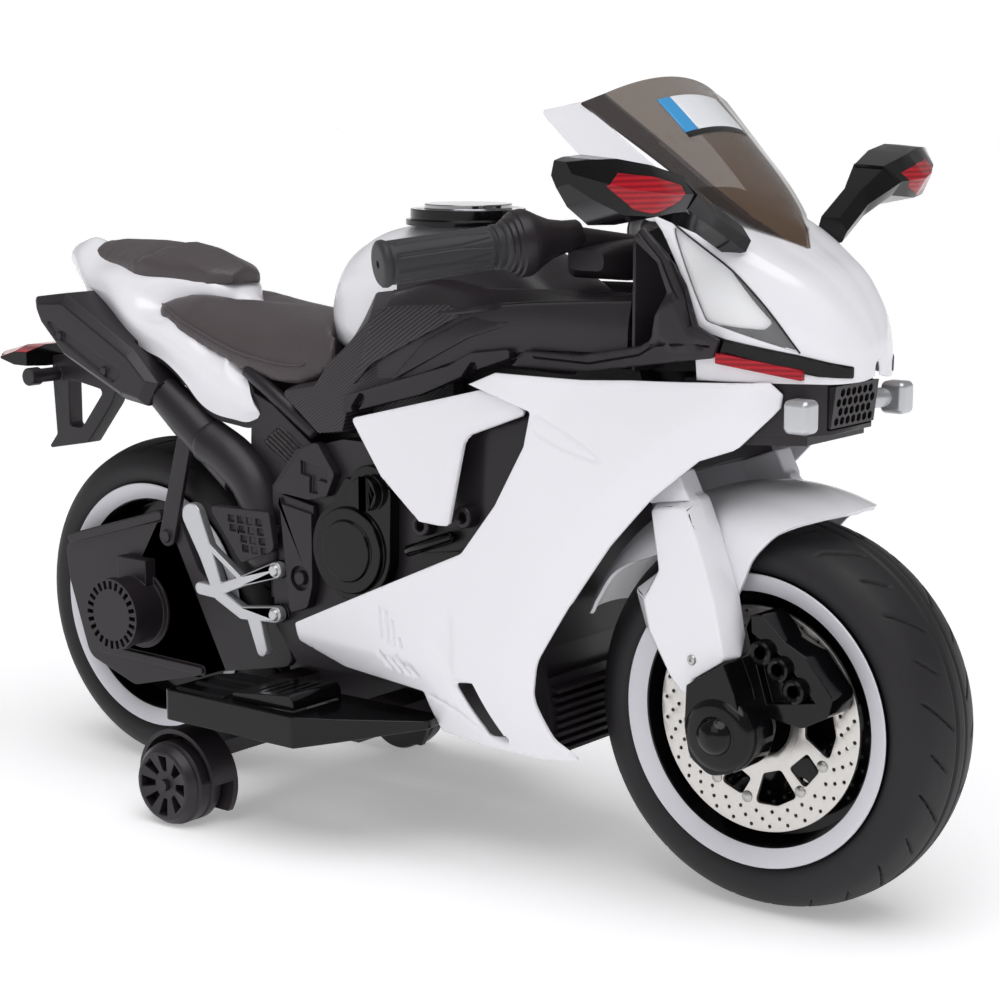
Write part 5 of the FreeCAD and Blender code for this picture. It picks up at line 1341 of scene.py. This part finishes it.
TAIL_ROWS = (
    (-479, ((0, 503), (7, 500), (12, 495), (14, 489), (12, 483))),
    (-458, ((0, 509), (12, 503), (22, 495), (27, 484), (23, 473))),
    (-430, ((0, 500), (20, 491), (34, 483), (42, 472), (38, 460))),
    (-386, ((0, 496), (33, 485), (49, 475), (55, 460), (51, 442))),
    (-344, ((0, 489), (40, 478), (51, 460), (67, 443), (64, 421))),
    (-320, ((0, 485), (38, 478), (44, 451), (70, 436), (68, 412))),
    (-290, ((0, 482), (34, 477), (37, 454), (71, 432), (72, 404))),
    (-262, ((0, 478), (28, 473), (34, 446), (72, 421), (73, 386))),
    (-246, ((0, 466), (14, 460), (32, 438), (73, 412), (73, 371))),
    (-200, ((0, 424), (46, 420), (68, 406), (75, 384), (72, 357))),
    (-184, ((0, 412), (54, 406), (68, 394), (73, 375), (69, 356))),
    (-174, ((0, 408), (56, 398), (66, 386), (69, 372), (65, 361))))
TAIL_WALL = 3.0
LINING_WALL = 1.5
LINING_GAP = 0.3
LINING_DROP = 2.5
ARM_LEAN = 0.6
ARM_FOOT = 366.0
ARM_START = -230.0
TAIL_TIP = ((-485, 0.3), (-483.5, 0.7), (-481, 0.92), (-478, 1.0), (-472, 0.96))


def tail_grid(inset, drop):
    # Each row runs from one lower edge over the ridge to the other. The fronts of the arms lean back.
    rows = []
    for x, line in TAIL_ROWS:
        right = [(max(half - inset, 0), z - inset - drop * (k == 4)) for k, (half, z) in enumerate(line)]
        rows.append((x, right[:0:-1] + [(-half, z) for half, z in right]))
    grid = lofted(rows, 90, 97)
    lean = ARM_LEAN * np.clip(grid[..., 2] - ARM_FOOT, 0, 40) * eased((grid[..., 0] - ARM_START) / 56)
    grid[..., 0] -= lean
    return grid


def tail_tip():
    # A rounded end in the shape of the first row, which closes the hump behind.
    right = TAIL_ROWS[0][1]
    ring = np.array(right + tuple((-half, z) for half, z in right[:0:-1]))
    middle = ring.mean(0)
    rows = []
    for x, share in TAIL_TIP:
        rows.append(np.column_stack([np.full(len(ring), x), middle + share * (ring - middle)]))
    return skinned(rows, 16)


tail = piece("tail_shell", shelled(tail_grid(0, 0), TAIL_WALL), white)
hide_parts("tail_cowl")
piece("tail_tip", tail_tip(), white, sharp=60)
lining = shelled(tail_grid(TAIL_WALL + LINING_GAP, LINING_DROP), LINING_WALL)
piece("tail_lining", lining, black_satin)


# Seat: a foam pad in black leatherette, two rounded lobes behind and a tall narrow front, pressed between
# the tank and the tail cowl. The cover is blown up a little by a cloth simulation.

SEAT_EDGE = (
    (-258, 0), (-296, -14, 8), (-320, -32, 14), (-319, -52, 16), (-274, -66, 30), (-190, -68),
    (-124, -61), (-86, -56, 8), (-112, -38, 6), (-112, 38, 6), (-86, 56, 8), (-124, 61), (-190, 68),
    (-274, 66, 30), (-319, 52, 16), (-320, 32, 14), (-296, 14, 8))
SEAT_SIDE = (
    (-258, 0), (-296, -14), (-318, -32), (-317, -50), (-274, -65), (-190, -68), (-124, -61), (-80, -56))
SEAT_STATIONS = (-320, -268, -190, -124, -88)
SEAT_HIGH = (465, 468, 460, 452, 449)
SEAT_LOW = (443, 427, 402, 395, 412)
SEAT_STRIP = (14, 14, 15, 17, 12)
SEAT_SLOPE = (20, 34, 44, 26, 14)
SEAT_SHRINK = 2.0
CHANNEL_DEPTH = 5.0
CHANNEL_HALF = 12.0
CHANNEL_START = -150.0


def leatherette():
    # Embossed vinyl on knit: warm black, satin, with a pebble grain of 1.8 mm cells and soft wrinkles.
    material, tree, shader = surface("black_leatherette", "#473f41", 0.42, {"IOR": 1.5, "Sheen Weight": 0.12})
    place = add(tree, "ShaderNodeTexCoord").outputs["Object"]
    grain = {"Vector": place, "Scale": 1000 / 1.8}
    cells = add(tree, "ShaderNodeTexVoronoi", grain, feature="DISTANCE_TO_EDGE")
    pebble = add(tree, "ShaderNodeMapRange", {"Value": cells.outputs["Distance"], "From Max": 0.25})
    crease = add(tree, "ShaderNodeTexNoise", {"Vector": place, "Scale": 1000 / 26, "Detail": 4.0})
    fine = add(tree, "ShaderNodeBump", {"Height": pebble.outputs["Result"], "Distance": 0.00012})
    wrinkle = {"Height": crease.outputs["Fac"], "Distance": 0.0007, "Normal": fine.outputs["Normal"]}
    broad = add(tree, "ShaderNodeBump", wrinkle)
    sheen = add(tree, "ShaderNodeMapRange", {"Value": crease.outputs["Fac"], "To Min": 0.34, "To Max": 0.48})
    tree.links.new(broad.outputs["Normal"], shader.inputs["Normal"])
    tree.links.new(sheen.outputs["Result"], shader.inputs["Roughness"])
    return material


def cushion(edge, top, low, step, ease):
    # A pad over a plan outline: a rounded top face, upright sides and a seat face below.
    def flat(spots):
        return np.column_stack([spots, np.zeros(len(spots))])

    points, faces = sheet(edge, flat, 1, step=step, roll=0.5, out=(0, 0, 1))
    count = len(points) // 2
    plan = points[:count, :2]
    short = np.clip(ease - gap_to(stepped(edge, step), plan, True), 0, ease)
    points[:count, 2] = top(plan) - ease + np.sqrt(ease * ease - short * short)
    points[count:, :2] = plan
    points[count:, 2] = low(plan)
    return points, faces


def baked(made):
    # The shape with its modifiers worked in.
    graph = bpy.context.evaluated_depsgraph_get()
    mesh = bpy.data.meshes.new_from_object(made.evaluated_get(graph))
    made.modifiers.clear()
    made.data = mesh
    return made


def stuffed(made, voxel, pressure, cap):
    # Foam under a cover: the shape is meshed evenly and blown up a little, its underside held.
    blocks = made.modifiers.new("Blocks", "REMESH")
    blocks.mode = "VOXEL"
    blocks.voxel_size = voxel / 1000
    baked(made)
    made.data.shade_smooth()
    rest = np.array([v.co for v in made.data.vertices])
    held = made.vertex_groups.new(name="held")
    floor = [v.index for v in made.data.vertices if v.normal.z < -0.5]
    held.add(floor, 1.0, "REPLACE")
    cloth = made.modifiers.new("Cloth", "CLOTH")
    cloth.settings.quality = 6
    cloth.settings.mass = 0.3
    cloth.settings.use_pressure = True
    cloth.settings.uniform_pressure_force = pressure
    cloth.settings.vertex_group_mass = "held"
    cloth.settings.effector_weights.gravity = 0
    for count in range(1, 21):
        bpy.context.scene.frame_set(count)
    graph = bpy.context.evaluated_depsgraph_get()
    moved = np.array([v.co for v in made.evaluated_get(graph).data.vertices]) - rest
    reach = np.linalg.norm(moved, axis=1)[:, None] + 1e-12
    blown = rest + moved * np.minimum(1, cap / 1000 / reach)
    made.modifiers.clear()
    made.vertex_groups.clear()
    made.data.vertices.foreach_set("co", blown.ravel())
    made.data.update()
    bpy.context.scene.frame_set(1)
    return made


def upholstered(name, form, voxel, pressure, cap, node):
    # A stuffed pad with a smooth cover, in place of a solid.
    made = stuffed(piece(name, form, leather), voxel, pressure, cap)
    smooth = made.modifiers.new("Fine", "SUBSURF")
    smooth.levels = 1
    smooth.render_levels = 1
    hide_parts(node)
    return made


def seat_low(plan):
    return hermite(SEAT_STATIONS, SEAT_LOW, plan[:, 0])


def seat_strip(plan):
    return seat_low(plan) + hermite(SEAT_STATIONS, SEAT_STRIP, plan[:, 0])


def seat_top(plan):
    # An upright strip round the edge, then a slope that eases into the crowned top.
    high = hermite(SEAT_STATIONS, SEAT_HIGH, plan[:, 0])
    folded = np.column_stack([plan[:, 0], -np.abs(plan[:, 1])])
    away = gap_to(SEAT_SIDE, folded) / hermite(SEAT_STATIONS, SEAT_SLOPE, plan[:, 0])
    rise = 1 - (1 - np.clip(away, 0, 1)) ** 2
    middle = np.exp(-(plan[:, 1] / CHANNEL_HALF) ** 2)
    channel = CHANNEL_DEPTH * middle * eased((CHANNEL_START - plan[:, 0]) / 90)
    strip = seat_strip(plan)
    return strip + (high - strip) * rise - channel - SEAT_SHRINK


leather = leatherette()
seat_form = cushion(rounded(SEAT_EDGE), seat_top, seat_low, 6.0, 3.0)
seat = upholstered("seat_cushion", seat_form, 4.5, 4.0, 6.0, "seat")


# Seat piping: a thin welt of the same leatherette, sewn in along the top of the seat's upright strip. It lies
# on the stuffed cover.

WELT_RADIUS = 1.2
WELT_PROUD = 0.4


def on_cushion(made, path):
    laid = []
    for spot in path:
        _, place, normal, _ = made.closest_point_on_mesh((Vector(spot) + Vector((SHIFT, 0, 0))) / 1000)
        laid.append(np.array(place) * 1000 - (SHIFT, 0, 0) + np.array(normal) * WELT_PROUD)
    return np.array(laid)


welt_line = through(SEAT_SIDE[3:7], 60)
welt_path = np.column_stack([welt_line, seat_strip(welt_line)])
pair("seat_piping", tube(on_cushion(seat, welt_path), WELT_RADIUS, 10), leather, sharp=60)


# Pillion pad: a smaller pad of the same leatherette, screwed down on top of the hump. It is in two parts with
# a sewn step between them.

PAD_EDGE = (
    (-446, -15, 4), (-362, -40, 4), (-345, -40, 3), (-268, -33, 6), (-250, -17, 8), (-250, 17, 8),
    (-268, 33, 6), (-345, 40, 3), (-362, 40, 4), (-446, 15, 4))
PAD_STATIONS = (-446, -415, -360, -330, -290, -250)
PAD_RIDGE = (506, 510, 510.5, 509.5, 503, 487)
PAD_SIDE = (497, 491, 488, 485, 484, 480)
PAD_LOW = (492, 487, 479, 474, 474, 475)
PAD_STEP = 3.0
PAD_CORNERS = (-446, -362, -345, -268, -250)
PAD_HALF = (15, 40, 40, 33, 17)
SEAM_STATION = -360.0
SEAM_POINT = 35.0
SEAM_HALF = 40.0
STITCH_DEPTH = 1.6


def pad_top(plan):
    # A roof: a rounded ridge along the middle, two flat sides and a sewn step that runs to a point forwards.
    ridge = np.interp(plan[:, 0], PAD_STATIONS, PAD_RIDGE)
    side = np.interp(plan[:, 0], PAD_STATIONS, PAD_SIDE)
    half = np.interp(plan[:, 0], PAD_CORNERS, PAD_HALF)
    away = np.clip(np.sqrt((plan[:, 1] / half) ** 2 + 0.03) - 0.17, 0, 1)
    past = plan[:, 0] - SEAM_STATION - SEAM_POINT * np.clip(1 - np.abs(plan[:, 1]) / SEAM_HALF, 0, 1)
    seam = PAD_STEP * eased(past / 3) - STITCH_DEPTH * np.exp(-(past / 2.5) ** 2)
    return ridge + (side - ridge) * away + seam


def pad_low(plan):
    return np.interp(plan[:, 0], PAD_STATIONS, PAD_LOW) - 2


pad_form = cushion(rounded(PAD_EDGE), pad_top, pad_low, 5.0, 4.0)
upholstered("pillion_cushion", pad_form, 3.0, 3.0, 1.5, "pillion_pad")


# Studio: a wide sheet of white paper under a soft overhead light and one large soft box. The surround is
# white near the horizon and dimmer above, so that the white shells keep their shading.

FLOOR_REACH = 30.0
TARGET = Vector((0.09, 0, 0.3))
LIGHTS = (
    ("overhead", "SUN", (0.5, -0.35, 1.9), 1.7, {"angle": math.radians(55)}),
    ("softbox", "AREA", (0.5, -1.9, 1.7), 7.0, {"size": 1.5}))
CAMERA_PLACE = (1281.6, -1565.2, 651.0)
CAMERA_AIM = (50.847, 0, 299.932)
CAMERA_LENS = 83.37
CAMERA_SENSOR = 36.0


def paper_floor():
    # Matte paper that glows a little, as a lit backdrop does.
    lit = {"Specular IOR Level": 0.1, "Emission Color": linear("#ffffff"), "Emission Strength": 0.3}
    return surface("white_paper_floor", "#f6f6f8", 0.8, lit)[0]


floor_mesh = bpy.data.meshes.new("floor")
corners = ((-1, -1), (1, -1), (1, 1), (-1, 1))
floor_mesh.from_pydata([(FLOOR_REACH * x, FLOOR_REACH * y, 0) for x, y in corners], [], [(0, 1, 2, 3)])
floor_mesh.materials.append(paper_floor())
floor = bpy.data.objects.new("floor", floor_mesh)
bpy.context.scene.collection.objects.link(floor)

world = bpy.data.worlds.new("studio")
world.use_nodes = True
sky = world.node_tree
way = add(sky, "ShaderNodeTexCoord").outputs["Generated"]
height = add(sky, "ShaderNodeSeparateXYZ", {"Vector": way}).outputs["Z"]
fade = {"Value": height, "From Min": 0.05, "From Max": 0.16, "To Min": 1.03, "To Max": 0.26}
glow = add(sky, "ShaderNodeMapRange", fade)
sky.nodes["Background"].inputs["Color"].default_value = linear("#ffffff")
sky.links.new(glow.outputs["Result"], sky.nodes["Background"].inputs["Strength"])
bpy.context.scene.world = world
bpy.context.scene.view_settings.view_transform = "Standard"

for name, kind, place, power, spread in LIGHTS:
    lamp = bpy.data.lights.new(name, kind)
    lamp.energy = power
    for setting, value in spread.items():
        setattr(lamp, setting, value)
    light = bpy.data.objects.new(name, lamp)
    light.location = place
    light.rotation_euler = (TARGET - Vector(place)).to_track_quat("-Z", "Y").to_euler()
    bpy.context.scene.collection.objects.link(light)

lens_data = bpy.data.cameras.new("camera")
lens_data.sensor_width = CAMERA_SENSOR
lens_data.lens = CAMERA_LENS
camera = bpy.data.objects.new("camera", lens_data)
spot = (Vector(CAMERA_PLACE) + Vector((SHIFT, 0, 0))) / 1000
aim = (Vector(CAMERA_AIM) + Vector((SHIFT, 0, 0))) / 1000
camera.location = spot
camera.rotation_euler = (aim - spot).to_track_quat("-Z", "Y").to_euler()
bpy.context.scene.collection.objects.link(camera)
bpy.context.scene.camera = camera
